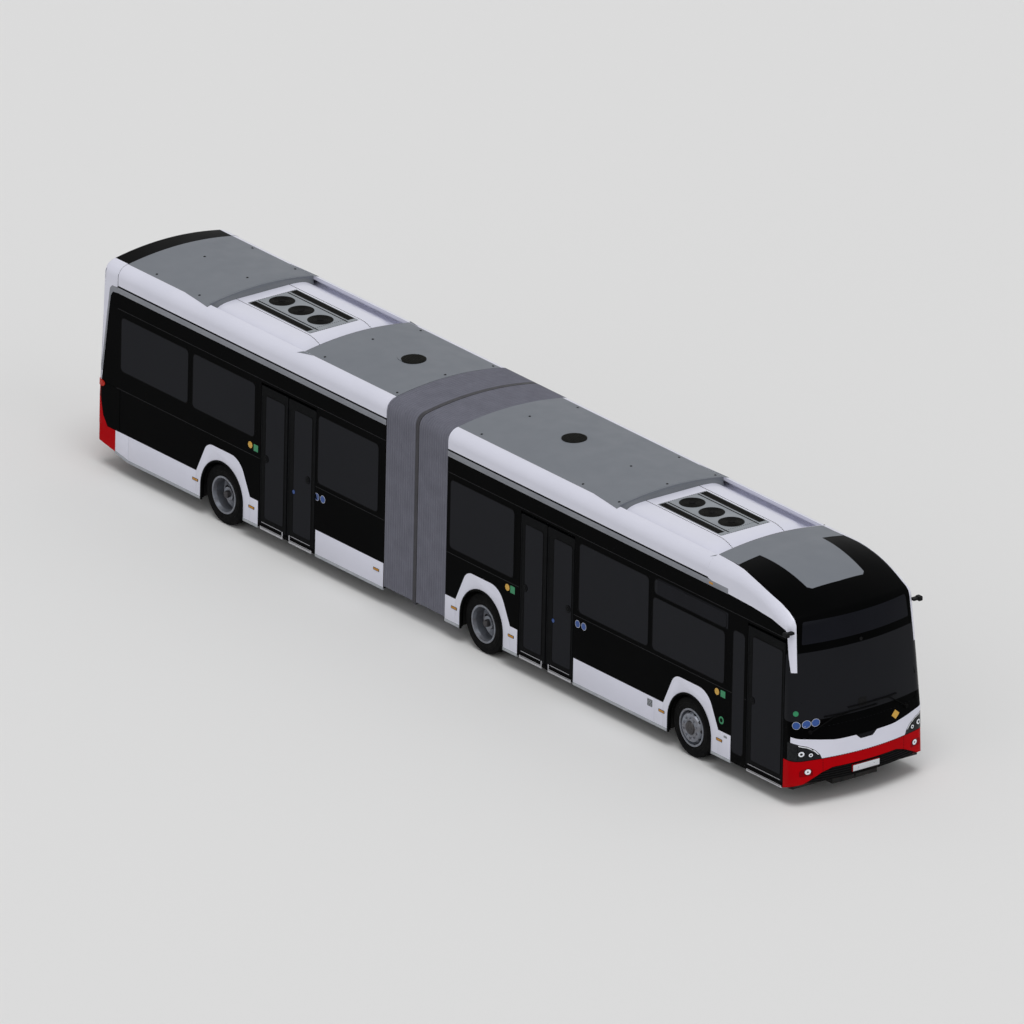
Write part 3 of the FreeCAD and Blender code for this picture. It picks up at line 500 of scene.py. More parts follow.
def loftOn(lower, upper, tree, count, rows, lift, thick, heart):
    # strip between two lines of points, brought onto a surface from outside; heart: furthest forward, up
    def spread(line):
        line = [Vector(p) for p in line]
        lengths = [0]
        for one, other in zip(line, line[1:]):
            lengths.append(lengths[-1] + (other - one).length)
        points = []
        for i in range(count + 1):
            want = lengths[-1] * i / count
            k = max(j for j in range(len(line) - 1) if lengths[j] <= want + 1e-9)
            points.append(line[k].lerp(line[k + 1],
                                       (want - lengths[k]) / max(lengths[k + 1] - lengths[k], 1e-9)))
        return points

    part = bmesh.new()
    inward = {}
    grid = []
    for low, high in zip(spread(lower), spread(upper)):
        line = []
        for row in range(rows + 1):
            point = low.lerp(high, row / rows)
            way = (point - Vector((min(point.x, heart[0]), 0, heart[1]))).normalized()
            hit, normal = tree.ray_cast(point + way * 0.5, -way)[:2]
            if hit is None:
                hit, normal = tree.find_nearest(point)[:2]
            if normal.dot(way) < 0:
                normal = -normal
            vertex = part.verts.new(hit + normal * lift)
            inward[vertex] = -normal * thick
            line.append(vertex)
        grid.append(line)
    knit(part, grid)
    thicken(part, inward)
    return part


# Side walls: every outline is in x and up, lies on the leaning wall and is mirrored for the other side
def wallPlace(side):
    stand = (Matrix.Translation((0, skirtWide, skirtLow)) @ Matrix.Rotation(sideLean, 4, "X")
             @ Matrix.Translation((0, 0, -skirtLow)))
    return stand if side == "left" else Matrix.Scale(-1, 4, (0, 1, 0)) @ stand


sectionEnds = {section: [corner[0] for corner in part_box(section + "_right_wall")] for section in sections}
sectionAxles = {"front": ("front", "mid"), "rear": ("rear",)}
doorways = {"front": [(along(-4.385), along(-2.990)), (along(1.435), along(2.400))],
            "rear": [(along(-11.125), along(-9.675))]}
fender = dict(foot=(-0.662, 0.742), shoulder=(-0.39, 0.46), top=1.255, corner=(0.22, 0.38), skirt=0.705,
              archX=0.015, archZ=0.505, arch=0.56, lip=0.533)
lowLine, rubberLow, rubberTop, tailRise, tailFrom = 0.308, 0.262, 0.306, 0.150, tailX + 0.855
panelJoint = along(-0.887)
gap, leastPanel, tailPaneDepth = 0.004, 0.02, 0.3
# how deep trim sits in the wall, how far it stands out and how its edge is softened
panelDepth, rubberDepth, seamDepth = (-0.004, 0.006, 0.002), (-0.02, 0.009, 0.002), (-0.004, 0.0015)


def tailLift(x):
    return max(0, (tailFrom - x) / (tailFrom - tailX)) * tailRise


def lifted(x0, x1, low, high):
    # panel whose named edges rise towards the tail
    return [(x0, low + tailLift(x0)), (x1, low + tailLift(x1)), *[(x, high(x)) for x in (x1, x0)]]


def archLine(radius, base):
    # from the rear foot over the wheel to the front foot, beside the axle
    middle, height = fender["archX"], fender["archZ"]
    turns = [pi - pi * i / 28 for i in range(29)]
    return [(middle - radius, base),
            *[(middle + radius * cos(turn), height + radius * sin(turn)) for turn in turns],
            (middle + radius, base)]


def fenderOutline():
    rear, front = fender["foot"]
    first, last = fender["shoulder"]
    outer = roundOff([(front, lowLine, 0), (front, fender["skirt"], 0.09),
                      (last, fender["top"], fender["corner"][1]), (first, fender["top"], fender["corner"][0]),
                      (rear, fender["skirt"], 0.09), (rear, lowLine, 0)])
    return outer + archLine(fender["arch"], lowLine)


def between(start, end, stops, least):
    # what the stops leave free from start to end
    spans, at = [], start
    for low, high in sorted(stops):
        if low - at > least:
            spans.append((at, low))
        at = max(at, high)
    return spans + ([(at, end)] if end - at > least else [])


def skirtSpans(section, side):
    # plain stretches of the lower white panels, between arches, doors and ends
    stops = [[axleX[axle] + foot for foot in fender["foot"]] for axle in sectionAxles[section]]
    if side == "right":
        stops += [[doorway[0] - 0.028, doorway[1] + 0.024] for doorway in doorways[section]]
        if section == "front":
            stops.append([along(1.064), along(1.50)])
    return between(*sectionEnds[section], stops, leastPanel)


def openSpans(section, side, level):
    # stretches of the wall at this height between the doorways
    start, end = sectionEnds[section]
    stops = [[low - gap, high + gap] for low, high in doorways[section] if side == "right" and level < 2.7]
    return between(start + gap, end - gap, stops, 0)


def islands(node, side):
    # boxes round the loose parts of a solid, on one side of the bus
    mesh, place = nodes[node].data, nodes[node].matrix_world
    group = list(range(len(mesh.vertices)))

    def root(i):
        while group[i] != i:
            group[i] = group[group[i]]
            i = group[i]
        return i

    met = {}
    for i, vertex in enumerate(mesh.vertices):
        group[root(i)] = root(met.setdefault(tuple(round(c, 4) for c in vertex.co), i))
    for edge in mesh.edges:
        one, other = [root(i) for i in edge.vertices]
        group[one] = other
    parts = {}
    for i, vertex in enumerate(mesh.vertices):
        parts.setdefault(root(i), []).append(place @ vertex.co)
    boxes = [[Vector([pick(p[k] for p in points) for k in range(3)]) for pick in (min, max)]
             for points in parts.values()]
    boxes.sort(key=lambda pair: (round(pair[0].x, 3), round(pair[0].y, 3), round(pair[0].z, 3)))
    return [pair for pair in boxes if (pair[0].y < 0) == (side == "right")]


for section in sections:
    for side in sides:
        stand = wallPlace(side)
        body, name = section + "_section", section + side.title()
        skirt, rubber, lips = bmesh.new(), bmesh.new(), bmesh.new()
        for axle in sectionAxles[section]:
            there = stand @ Matrix.Translation((axleX[axle], 0, 0))
            addTo(skirt, plate(fenderOutline(), *panelDepth), there)
            addTo(lips,
                  rim(archLine(fender["arch"] - 0.001, rubberLow), archLine(fender["lip"], rubberLow), -0.02,
                      0.012, closed=False), there)
            for foot, arch in zip(fender["foot"], (-1, 1)):
                ends = sorted((foot, fender["archX"] + arch * fender["arch"]))
                addTo(rubber, plate(box(*ends, rubberLow, rubberTop), *rubberDepth), there)
        for low, high in skirtSpans(section, side):
            cuts = [low, high]
            if side == "right" and low < panelJoint < high:
                cuts.insert(1, panelJoint)
            if section == "rear" and low < tailFrom < high:
                cuts.insert(1, tailFrom)
            for one, other in zip(cuts, cuts[1:]):
                addTo(skirt, plate(lifted(one + gap / 2, other - gap / 2, lowLine, lambda x: fender["skirt"]),
                                   *panelDepth), stand)
                addTo(rubber, plate(lifted(one, other, rubberLow, lambda x: rubberTop + tailLift(x)),
                                    *rubberDepth), stand)
        newPiece(name + "Skirt", skirt, "whitePaint", body)
        newPiece(name + "SkirtRubber", rubber, "skirtRubber", body)
        newPiece(name + "ArchLips", lips, "sealBlack", body)
print("skirts and fenders made")

# Gutter strips under the coves, side panes over a black cover plate, window rubbers and panel seams
stripLow, stripHigh = 3.002, 3.092
paneReach = {"front": (0.075, 0.035, 0.018), "rear": (0.105, 0.060, 0.028)}    # back at each end, and down
for section in sections:
    body = section + "_section"
    strips, seams, panesGlass = bmesh.new(), bmesh.new(), bmesh.new()
    back, ahead, down = paneReach[section]
    start, end = sectionEnds[section]
    stripEnd = along(0.92) if section == "front" else end
    for side in sides:
        stand = wallPlace(side)
        for whole, low, high, depth in ((strips, stripLow, stripHigh, (-0.004, 0.007, 0.002)),
                                        (strips, stripLow + 0.038, stripLow + 0.046, (0.005, 0.010, 0.001)),
                                        (seams, stripHigh + 0.004, stripHigh + 0.010, (-0.004, 0.002))):
            addTo(whole, plate(box(start, stripEnd, low, high), *depth), stand)
        for low, high in islands(section + "_windows", side):
            if high.y - low.y > tailPaneDepth:
                continue

            def grown(grow, radius, pane=(low.x - back, high.x - ahead, low.z - down, high.z - down)):
                return box(*[edge + sign * grow for edge, sign in zip(pane, (-1, 1, -1, 1))], radius)

            cover = box(low.x - 0.01, high.x + 0.01, low.z - 0.01, high.z + 0.01, 0.07)
            addTo(panesGlass, plate(cover, -0.004, 0.0008), stand, 1)
            addTo(panesGlass, plate(grown(0, 0.075), -0.004, 0.002), stand)
            addTo(seams, rim(grown(0.006, 0.081), grown(-0.005, 0.070), -0.004, 0.0035), stand)
        for level in (1.42, 2.745):
            for low, high in openSpans(section, side, level):
                addTo(seams, plate(box(low, high, level - 0.003, level + 0.003), *seamDepth), stand, 1)
    newPiece(section + "GutterStrips", strips, "stripGrey", body)
    newPiece(section + "SidePanes", panesGlass, ["sideGlass", "blackGloss"], body)
    newPiece(section + "WindowRubbers", seams, ["sealBlack", "seamGrey"], body)

# Bellows: one pleated skin over both halves, with the hoop between them
pleats = dict(each=13, deep=0.014, steps=6, proud=0.004, thick=0.004, heart=1.8, open=radians(31), around=150)
bellowsLow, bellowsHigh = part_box("bellows_rear")[0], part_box("bellows_front")[1]
hoopSpan = (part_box("bellows_rear")[1][0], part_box("bellows_front")[0][0])
ringTree, ringX = surface("bellows_front"), (hoopSpan[1] + bellowsHigh[0]) / 2
ring = []
for i in range(pleats["around"] + 1):
    turn = -pi / 2 + pleats["open"] + (2 * pi - 2 * pleats["open"]) * i / pleats["around"]
    out = Vector((0, cos(turn), sin(turn)))
    hit = ringTree.ray_cast(Vector((ringX, 0, pleats["heart"])) + out * 4, -out)[0]
    if hit is not None:
        ring.append((hit.y, hit.z))
ways = []
for i in range(len(ring)):
    way = (Vector(ring[min(i + 1, len(ring) - 1)]) - Vector(ring[max(i - 1, 0)])).normalized()
    ways.append(Vector((-way.y, way.x)))
stations = []
for low, high in ((bellowsLow[0], hoopSpan[0]), (hoopSpan[1], bellowsHigh[0])):
    total = pleats["each"] * pleats["steps"]
    for i in range(total + 1):
        wave = 0.5 + 0.5 * cos(2 * pi * i / pleats["steps"])
        stations.append((low + (high - low) * i / total, pleats["deep"] * wave ** 1.6 - pleats["proud"]))
bellows = bmesh.new()
rows = [[bellows.verts.new((x, y + way.x * depth, z + way.y * depth)) for (y, z), way in zip(ring, ways)]
        for x, depth in stations]
knit(bellows, rows)
thicken(bellows, {vertex: Vector((0, way.x, way.y)) * pleats["thick"] for row in rows
                  for vertex, way in zip(row, ways)})
skin = newPiece("bellowsSkin", bellows, "bellowsCloth", None,
                ("bellows_front", "bellows_rear"), 50)
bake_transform(skin)
print("bellows made:", len(ring), "points round,", len(stations), "stations")

# Nose and tail: trim is laid on the bowed ends in angle, round an upright line inside them, and height
class BowedEnd:
    def __init__(self, solids, heart, forward, step):
        self.tree, self.heart, self.forward, self.step = surface(*solids), heart, forward, step

    def aim(self, angle, height):
        way = Vector((self.forward * cos(angle), sin(angle), 0))
        return Vector((self.heart, 0, height)) + way * 2.5, -way

    def meet(self, y, height):
        # where the end is met this far off the centre line, and how it faces there
        return self.tree.ray_cast(*aimFrom("back" if self.forward > 0 else "forward", 0, y, height))[:2]

    def angle(self, y, height):
        return atan2(y, self.forward * (self.meet(y, height)[0].x - self.heart))

    def corner(self, ahead, height):
        # angle of the point on the left side that lies this far ahead of the front axle
        hit = self.tree.ray_cast(*aimFrom("right", along(ahead), 0, height))[0]
        return atan2(hit.y, self.forward * (along(ahead) - self.heart))

    def line(self, points):
        return [(self.angle(y, z), z) for y, z in points]

    def flank(self, points):
        return [(self.corner(x, z), z) for x, z in points]

    def lay(self, outline, lift, thick=0.003, step=None):
        return drape([outline], self.aim, self.tree, step or self.step, lift, thick)


nose = BowedEnd(("front_mask", "windscreen", "front_panel", "headlamps", "front_bumper", "front_right_wall",
                 "front_left_wall"), along(1.75), 1, (0.035, 0.05))
tail = BowedEnd(("rear_wall", "rear_roof", "rear_left_wall", "rear_right_wall", "rear_bumper", "rear_windows",
                 "tail_lamps"), tailX + 0.80, -1, (0.04, 0.08))


def bothHalves(line):
    # a line from the centre out to the left side, closed through its mirror image
    return [(-a, z) for a, z in reversed(line) if a > 1e-6] + line


def noseDisc(y, z, radius):
    # round outline on the front, with this radius in metres
    middle = nose.angle(y, z)
    reach = (nose.tree.ray_cast(*nose.aim(middle, z))[0] - Vector((nose.heart, 0, z))).length
    return [(middle + radius * c / reach, z + radius * s) for c, s in circle(28)]


def addDiscs(whole, y, z, table, step=0.05):
    # stacked round plates on the front, each with its radius, lift, thickness and finish
    for radius, lift, thick, finish in table:
        addTo(whole, nose.lay(noseDisc(y, z, radius), lift, thick, (step, step)), finish=finish)


wrap = {height: nose.corner(2.405, height) for height in (1.29, 1.41, 2.5)}
pane = roundOff([(sign * wrap[z], z, 0.04) for sign, z in ((-1, 1.41), (1, 1.41), (1, 2.5), (-1, 2.5))])
newPiece("screenPane", nose.lay(pane, 0.003), "screenGlass", frontBody)
wide = nose.angle(1.01, 2.8)
newPiece("displayPane", nose.lay(box(-wide, wide, 2.63, 2.99, 0.02), 0.003), "displayGlass", frontBody)

smileTop = nose.line([(0.0, 1.043), (0.25, 1.043), (0.5, 1.043), (0.6, 1.05), (0.84, 1.09), (1.09, 1.134)])
smileEnd = [(nose.corner(2.56, 1.16), 1.165), (nose.corner(2.56, 1.06), 1.075)]
lampTop = nose.line([(1.20, 1.06), (1.04, 1.005), (0.91, 0.93), (0.83, 0.845), (0.80, 0.776)])
smileLow = nose.line([(0.60, 0.772), (0.30, 0.770), (0.0, 0.769)])
newPiece("noseBand", nose.lay(bothHalves(smileTop + smileEnd + lampTop + smileLow), 0.004), "whitePaint",
         frontBody)

lampSide = [(nose.corner(2.50, 0.80), 0.776), (nose.corner(2.50, 1.06), 1.070)]
guide = nose.line([(1.17, 1.020), (1.04, 0.978), (0.93, 0.912), (0.862, 0.845), (0.850, 0.850),
                   (0.918, 0.925), (1.035, 0.991), (1.17, 1.034)])
for sign, side in ((1, "left"), (-1, "right")):
    lamps = nose.lay(flip(lampSide + lampTop, sign), 0.0035)
    for y, z, radius in ((1.13, 0.89, 0.042), (0.98, 0.855, 0.030)):
        addDiscs(lamps, sign * y, z, ((radius + 0.016, 0.007, 0.006, 1), (radius, 0.0085, 0.004, 2),
                                      (radius * 0.45, 0.0115, 0.004, 0)))
    addTo(lamps, nose.lay(flip(guide, sign), 0.006), finish=2)
    newPiece(side + "Headlamp", lamps, ["lampClear", "blackPlastic", "lampWhite"], frontBody)

# Bumper: the mouth with its slats and blank plate, and fog lamps
mouth = [(0.0, 0.598), (0.60, 0.597), (0.79, 0.545), (1.085, 0.391), (0.9, 0.391), (0.0, 0.391)]
mouthPiece = nose.lay(bothHalves(nose.line(mouth)), 0.002)
for height in (0.425, 0.462, 0.499, 0.536, 0.573):
    reach = 1.085 - (height - 0.391) * 1.95 if height < 0.545 else 0.79 - (height - 0.545) * 3.4
    for sign in (1, -1):
        ends = [nose.angle(y, height) * sign for y in (0.285, reach - 0.045)]
        slat = box(*ends, height - 0.007, height + 0.007)
        addTo(mouthPiece, nose.lay(slat[::sign], 0.012, 0.010), finish=1)
newPiece("mouthGrille", mouthPiece, ["sealBlack", "blackPlastic"], frontBody)

holderFace = noseX - 0.006
screwTurn = Matrix.Rotation(radians(-90), 4, "Z")
plates = block((holderFace - 0.001, -0.260, 0.443), (holderFace + 0.003, 0.260, 0.553), 0.001)
addTo(plates, block((holderFace + 0.002, -0.254, 0.449), (holderFace + 0.0045, 0.254, 0.547), 0.001),
      finish=1)
for y in (-0.15, 0.15):
    addTo(plates, lathe([(0, 0.0065), (0.005, 0.0065), (0.008, 0.004), (0.008, -0.004)], 16),
          Matrix.Translation((holderFace, y, 0.498)) @ screwTurn, 2)
newPiece("frontPlate", plates, ["blackPlastic", "noticeWhite", "rimSteel"], frontBody)

# the fog lamps sit on flat sheets of darker red laid on the bumper: painted shade for their recesses
fog = bmesh.new()
recess = roundOff([(0.945, 0.512, 0.02), (1.165, 0.512, 0.02), (1.165, 0.630, 0.05), (0.945, 0.630, 0.05)])
for sign in (1, -1):
    addTo(fog, nose.lay(flip(nose.line(recess), sign), 0.002))
    addDiscs(fog, sign * 1.03, 0.585,
             ((0.050, 0.006, 0.006, 2), (0.043, 0.009, 0.009, 1), (0.012, 0.0105, 0.0105, 2)))
newPiece("fogLamps", fog, ["recessShadeRed", "lampWhite", "lampClear"], frontBody)
print("nose made")

# Roof: white sweeps beside the black cap, its grey patch, and hoods over the cooling units
sweepTop = [(0.405, -1.02, 3.46), (0.81, -1.02, 3.44), (1.12, -1.05, 3.43), (1.57, -1.10, 3.36),
            (1.89, -1.10, 3.27), (2.11, -1.085, 3.20), (2.31, -1.075, 3.11), (2.45, -1.085, 3.03),
            (2.50, -1.092, 2.95), (2.53, -1.108, 2.61), (2.57, -1.128, 2.20)]
sweepLow = [(0.405, -1.21, 3.11), (0.92, -1.21, 3.01), (1.53, -1.21, 2.99), (2.04, -1.21, 2.95),
            (2.38, -1.205, 2.87), (2.42, -1.205, 2.80), (2.455, -1.202, 2.45), (2.50, -1.194, 2.20)]
for side, mirror in zip(sides, (1, -1)):
    tree = surface("front_mask", "front_roof", "windscreen", f"front_{side}_wall")
    lines = [[(along(x), y * mirror, z) for x, y, z in line] for line in (sweepLow, sweepTop)]
    newPiece(side + "Sweep", loftOn(*lines, tree, 90, 16, 0.004, 0.004, (along(1.4), 2.3)), "whitePaint",
             frontBody)


def onRoof(outlines, nodesUnder, lift, step=(0.08, 0.06)):
    return drape(outlines, lambda x, y: aimFrom("down", x, y, 0), surface(*nodesUnder), step, lift, 0.003)


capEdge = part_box("front_roof")[1][0]
patch = [(capEdge + 0.012, 0.0), (capEdge + 0.003, 1.00), (along(0.92), 1.01), (along(0.92), 0.60),
         (along(2.05), 0.55), (along(2.11), 0.49), (along(2.13), 0.0)]
patch += [(x, -y) for x, y in reversed(patch)]
newPiece("capPatch", onRoof([patch], ("front_mask",), 0.003), "roofGrey", frontBody)

unit = dict(top=3.421, wide=1.0, power=8, drop=0.155, roll=0.60, seam=0.515, plate=(0.275, 1.905), half=0.475,
            fans=(0.54, 1.04, 1.54), fan=0.208, columns=24, rows=40, fall=0.07, fallOver=0.3, slots=22,
            dashes=60)
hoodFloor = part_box("front_cooling_unit")[0][2] + 0.004
upright = Matrix.Rotation(radians(90), 4, "X")


def hoodHeight(forward, y, length):
    # top of the hood this far ahead of its rear end
    sag = unit["drop"] * abs(y / unit["wide"]) ** unit["power"]
    droop = max(0, forward - (length - unit["roll"])) / unit["fallOver"]
    return max(unit["top"] - sag - unit["fall"] * droop ** 2, hoodFloor)


def makeHood(start, length):
    hood = bmesh.new()
    columns, rows = unit["columns"], unit["rows"]
    across = [unit["wide"] * (i / columns) for i in range(-columns, columns + 1)]
    grid = [[hood.verts.new((start + s, y, hoodHeight(s, y, length))) for y in across]
            for s in [length * i / rows for i in range(rows + 1)]]
    knit(hood, grid)
    for line in (grid[0], grid[-1], [row[0] for row in grid], [row[-1] for row in grid]):
        feet = [hood.verts.new((v.co.x, v.co.y, hoodFloor - 0.004)) for v in line]
        for i in range(len(line) - 1):
            hood.faces.new((line[i], line[i + 1], feet[i + 1], feet[i]))
    bmesh.ops.remove_doubles(hood, verts=hood.verts, dist=1e-5)
    return hood


def makeFans(start):
    # louvres along both edges, rows of slots across, and three round guards
    top, (rear, front) = unit["top"], [start + end for end in unit["plate"]]
    fans = block((rear, -unit["half"], top - 0.02), (front, unit["half"], top + 0.002))

    def raised(x0, x1, y0, y1, height, finish):
        addTo(fans, block((x0, y0, top), (x1, y1, top + height)), finish=finish)

    for sign in (1, -1):
        for inner, outer, stop, slats in ((0.335, 0.462, 0.095, 5), (0.276, 0.300, 0.045, 1)):
            low, high = sorted((sign * inner, sign * outer))
            raised(rear + 0.025, front - stop, low, high, 0.0035, 1)
            for i in range(1, slats):
                y = low + (high - low) * i / slats
                raised(rear + 0.03, front - stop - 0.005, y - 0.004, y + 0.004, 0.0055, 2)
    for x in (rear + 0.006, front - 0.135, front - 0.006):
        for i in range(unit["slots"]):
            y = -0.45 + 0.9 * (i + 0.5) / unit["slots"]
            raised(x - 0.005, x + 0.005, y - 0.010, y + 0.010, 0.003, 2)
    radius = unit["fan"]
    for place in unit["fans"]:
        there = Matrix.Translation((start + place, 0, top)) @ upright
        addTo(fans,
              lathe([(radius, -0.002), (radius, 0.004), (radius - 0.008, 0.005), (radius - 0.010, 0.0035),
                     (0, 0.0035)], 48), there, 1)
        for i in range(1, 7):
            ring = radius * i / 7
            addTo(fans, lathe([(ring - 0.003, 0.003), (ring - 0.003, 0.0065), (ring + 0.003, 0.0065),
                               (ring + 0.003, 0.003)], 40), there, 2)
        addTo(fans, lathe([(0.05, 0.003), (0.05, 0.008), (0, 0.009)], 24), there, 2)
    return fans


def makeHoodSeams(start, length):
    # dashed seams, laid on the hood
    seams = bmesh.new()
    count = unit["dashes"]
    dash = (length - 0.30) / count
    for sign in (1, -1):
        for i in range(count):
            s = 0.03 + (length - 0.30) * (i + 0.25) / count
            y = sign * unit["seam"]
            part = bmesh.new()
            addFace(part, [(start + f, w, hoodHeight(f, w, length) + 0.002)
                           for f, w in box(s, s + dash * 0.62, y - 0.006, y + 0.006)])
            thicken(part, (0, 0, -0.006))
            addTo(seams, part)
    return seams


for section in sections:
    body, node = section + "_section", section + "_cooling_unit"
    start, end = [corner[0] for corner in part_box(node)]
    newPiece(section + "Hood", makeHood(start, end - start), "whitePaint", body, (node,), 50)
    newPiece(section + "Fans", makeFans(start), ["fanGrey", "louvreBlack", "sealBlack"], body)
    newPiece(section + "HoodSeams", makeHoodSeams(start, end - start), "sealBlack", body)
print("hoods made")

# Covers: ramps down to the hoods, pointed flares on the coves, bolts and the round black domes
coverSpots = {"front": dict(rows=(-5.78, -3.17, -2.24), dome=-4.63),
              "rear": dict(rows=(-14.25, -13.13, -9.85, -7.97), dome=-8.79)}
for section, spots in coverSpots.items():
    body, covers = section + "_section", section + "_roof_covers"
    start, end = [corner[0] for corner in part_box(section + "_cooling_unit")]
    tree = surface(covers)
    ramps = bmesh.new()
    topEdge, foot = [], []
    for y in [-1.0 + 2.0 * i / 24 for i in range(25)]:
        z = tree.ray_cast(*aimFrom("down", start - 0.03, y, 0))[0].z
        topEdge.append(ramps.verts.new((start - 0.03, y, z + 0.002)))
        foot.append(ramps.verts.new((start + 0.045, y, min(z - 0.075, hoodHeight(0, y, 2.5) + 0.004))))
    back = [ramps.verts.new((start - 0.002, v.co.y, v.co.z - 0.02)) for v in foot]
    for i in range(24):
        for one, other in ((topEdge, foot), (foot, back), (back, topEdge)):
            ramps.faces.new((one[i], one[i + 1], other[i + 1], other[i]))
    for i in (0, 24):
        ramps.faces.new((topEdge[i], foot[i], back[i]))
    # the ramps take the darkened roof grey, painted shade on the slope
    newPiece(section + "CoverRamps", ramps, "rampGrey", body)
    tips = [[(start - 0.62, 1.018), (start + 0.045, 1.085), (start + 0.045, 1.018)]]
    if section == "rear":
        tips.append([(end + 0.22, 1.022), (end - 0.09, 1.10), (end, 1.022)])
    else:
        tips.append([(capEdge - 0.004, 1.022), (capEdge - 0.075, 1.105), (capEdge - 0.004, 1.06)])
    flares = [[(x, sign * y) for x, y in tip] for tip in tips for sign in (1, -1)]
    newPiece(section + "Flares", onRoof(flares, (section + "_roof",), 0.004), "roofGrey", body)
    bolts = bmesh.new()
    for row in spots["rows"]:
        for y in (-0.93, 0, 0.93):
            hit, normal = tree.ray_cast(*aimFrom("down", along(row), y, 0))[:2]
            if hit is not None:
                tilt = normal.to_track_quat("Z", "Y").to_matrix().to_4x4()
                addTo(bolts, lathe([(0.021, -0.003), (0.021, 0.002), (0.013, 0.004), (0.012, 0.008),
                                    (0, 0.008)], 14),
                      Matrix.Translation(hit) @ tilt @ upright)
    crown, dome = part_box(covers)[1][2], along(spots["dome"])
    addTo(bolts, lathe([(0.202, -0.016), (0.202, -0.001), (0.192, 0.002), (0, 0.002)], 56),
          Matrix.Translation((dome, 0, crown)) @ upright)
    for i in range(-4, 5):
        reach = sqrt(0.185 ** 2 - (0.04 * i) ** 2)
        addTo(bolts,
              block((dome - reach, 0.04 * i - 0.007, crown), (dome + reach, 0.04 * i + 0.007, crown + 0.006)))
    newPiece(section + "BoltsAndDome", bolts, "louvreBlack", body)
print("covers made")


# Doorways and side trim, laid on the side from outside: outlines are in x and up
def onSide(outline, under, lift, thick=0.003, step=(0.3, 0.3)):
    return drape([outline], lambda x, z: aimFrom("left", x, 0, z), surface(*under), step, lift, thick)


def ahead(points):
    return [(along(x), z) for x, z in points]


def window(x0, x1, z0, z1, radius=0):
    return ahead(box(x0, x1, z0, z1, radius))


def addSpots(whole, under, x, z, table, steps=28):
    # stacked round plates on the side, each with its radius, lift, thickness and finish
    for radius, lift, thick, finish in table:
        addTo(whole, onSide(disc(along(x), z, radius, steps), under, lift, thick), finish=finish)


leafTable = {
    "front_door_leaf": dict(knob=(1.59, 1.46), line=(1.504, 2.33)),
    "mid_door_rear_leaf": dict(knob=(-4.237, 1.457), line=(-4.318, -3.821)),
    "mid_door_front_leaf": dict(knob=(-3.132, 1.462), line=(-3.567, -3.070), notice=(-3.509, 1.148)),
    "rear_door_rear_leaf": dict(knob=(-10.963, 1.465), line=(-11.056, -10.547)),
    "rear_door_front_leaf": dict(knob=(-9.877, 1.456), line=(-10.293, -9.796), notice=(-10.240, 1.146)),
}
for leaf, spots in leafTable.items():
    under = (leaf, leaf.replace("leaf", "glass"))
    low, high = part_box(leaf)
    paneLow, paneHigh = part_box(under[1])
    dress = onSide(window(*spots["line"], 0.384, 0.391), under, 0.004, 0.006)
    addSpots(dress, under, *spots["knob"], ((0.060, 0.006, 0.006, 1), (0.049, 0.009, 0.009, 2),
                                            (0.034, 0.0105, 0.0105, 1), (0.016, 0.012, 0.012, 2)))
    outer, inner = [box(paneLow[0] - grow, paneHigh[0] + grow, paneLow[2] - grow, paneHigh[2] + grow, radius)
                    for grow, radius in ((0.004, 0.05), (-0.008, 0.038))]
    seal = rim(outer, inner, 0.006, -0.003)
    tree = surface(*under)
    for v in seal.verts:
        hit = tree.ray_cast(*aimFrom("left", v.co.x, 0, v.co.z))[0]
        v.co.y += hit.y if hit is not None else -max(abs(paneLow[1]), abs(paneHigh[1]))
    addTo(dress, seal, finish=1)
    for x in (low[0] + 0.018, high[0] - 0.018):
        addTo(dress,
              onSide(box(x - 0.004, x + 0.004, low[2] + 0.06, high[2] - 0.05), under, 0.004, 0.006, (1, 0.2)),
              finish=2)
    if "notice" in spots:
        addSpots(dress, under, *spots["notice"], [(0.032, 0.003, 0.003, 3)])
    name = leaf.title().replace("_", "")
    newPiece(name[0].lower() + name[1:] + "Dress", dress,
             ["stepEdge", "sealBlack", "frameGrey", "noticeBlue"], leaf)
print("door leaves dressed")

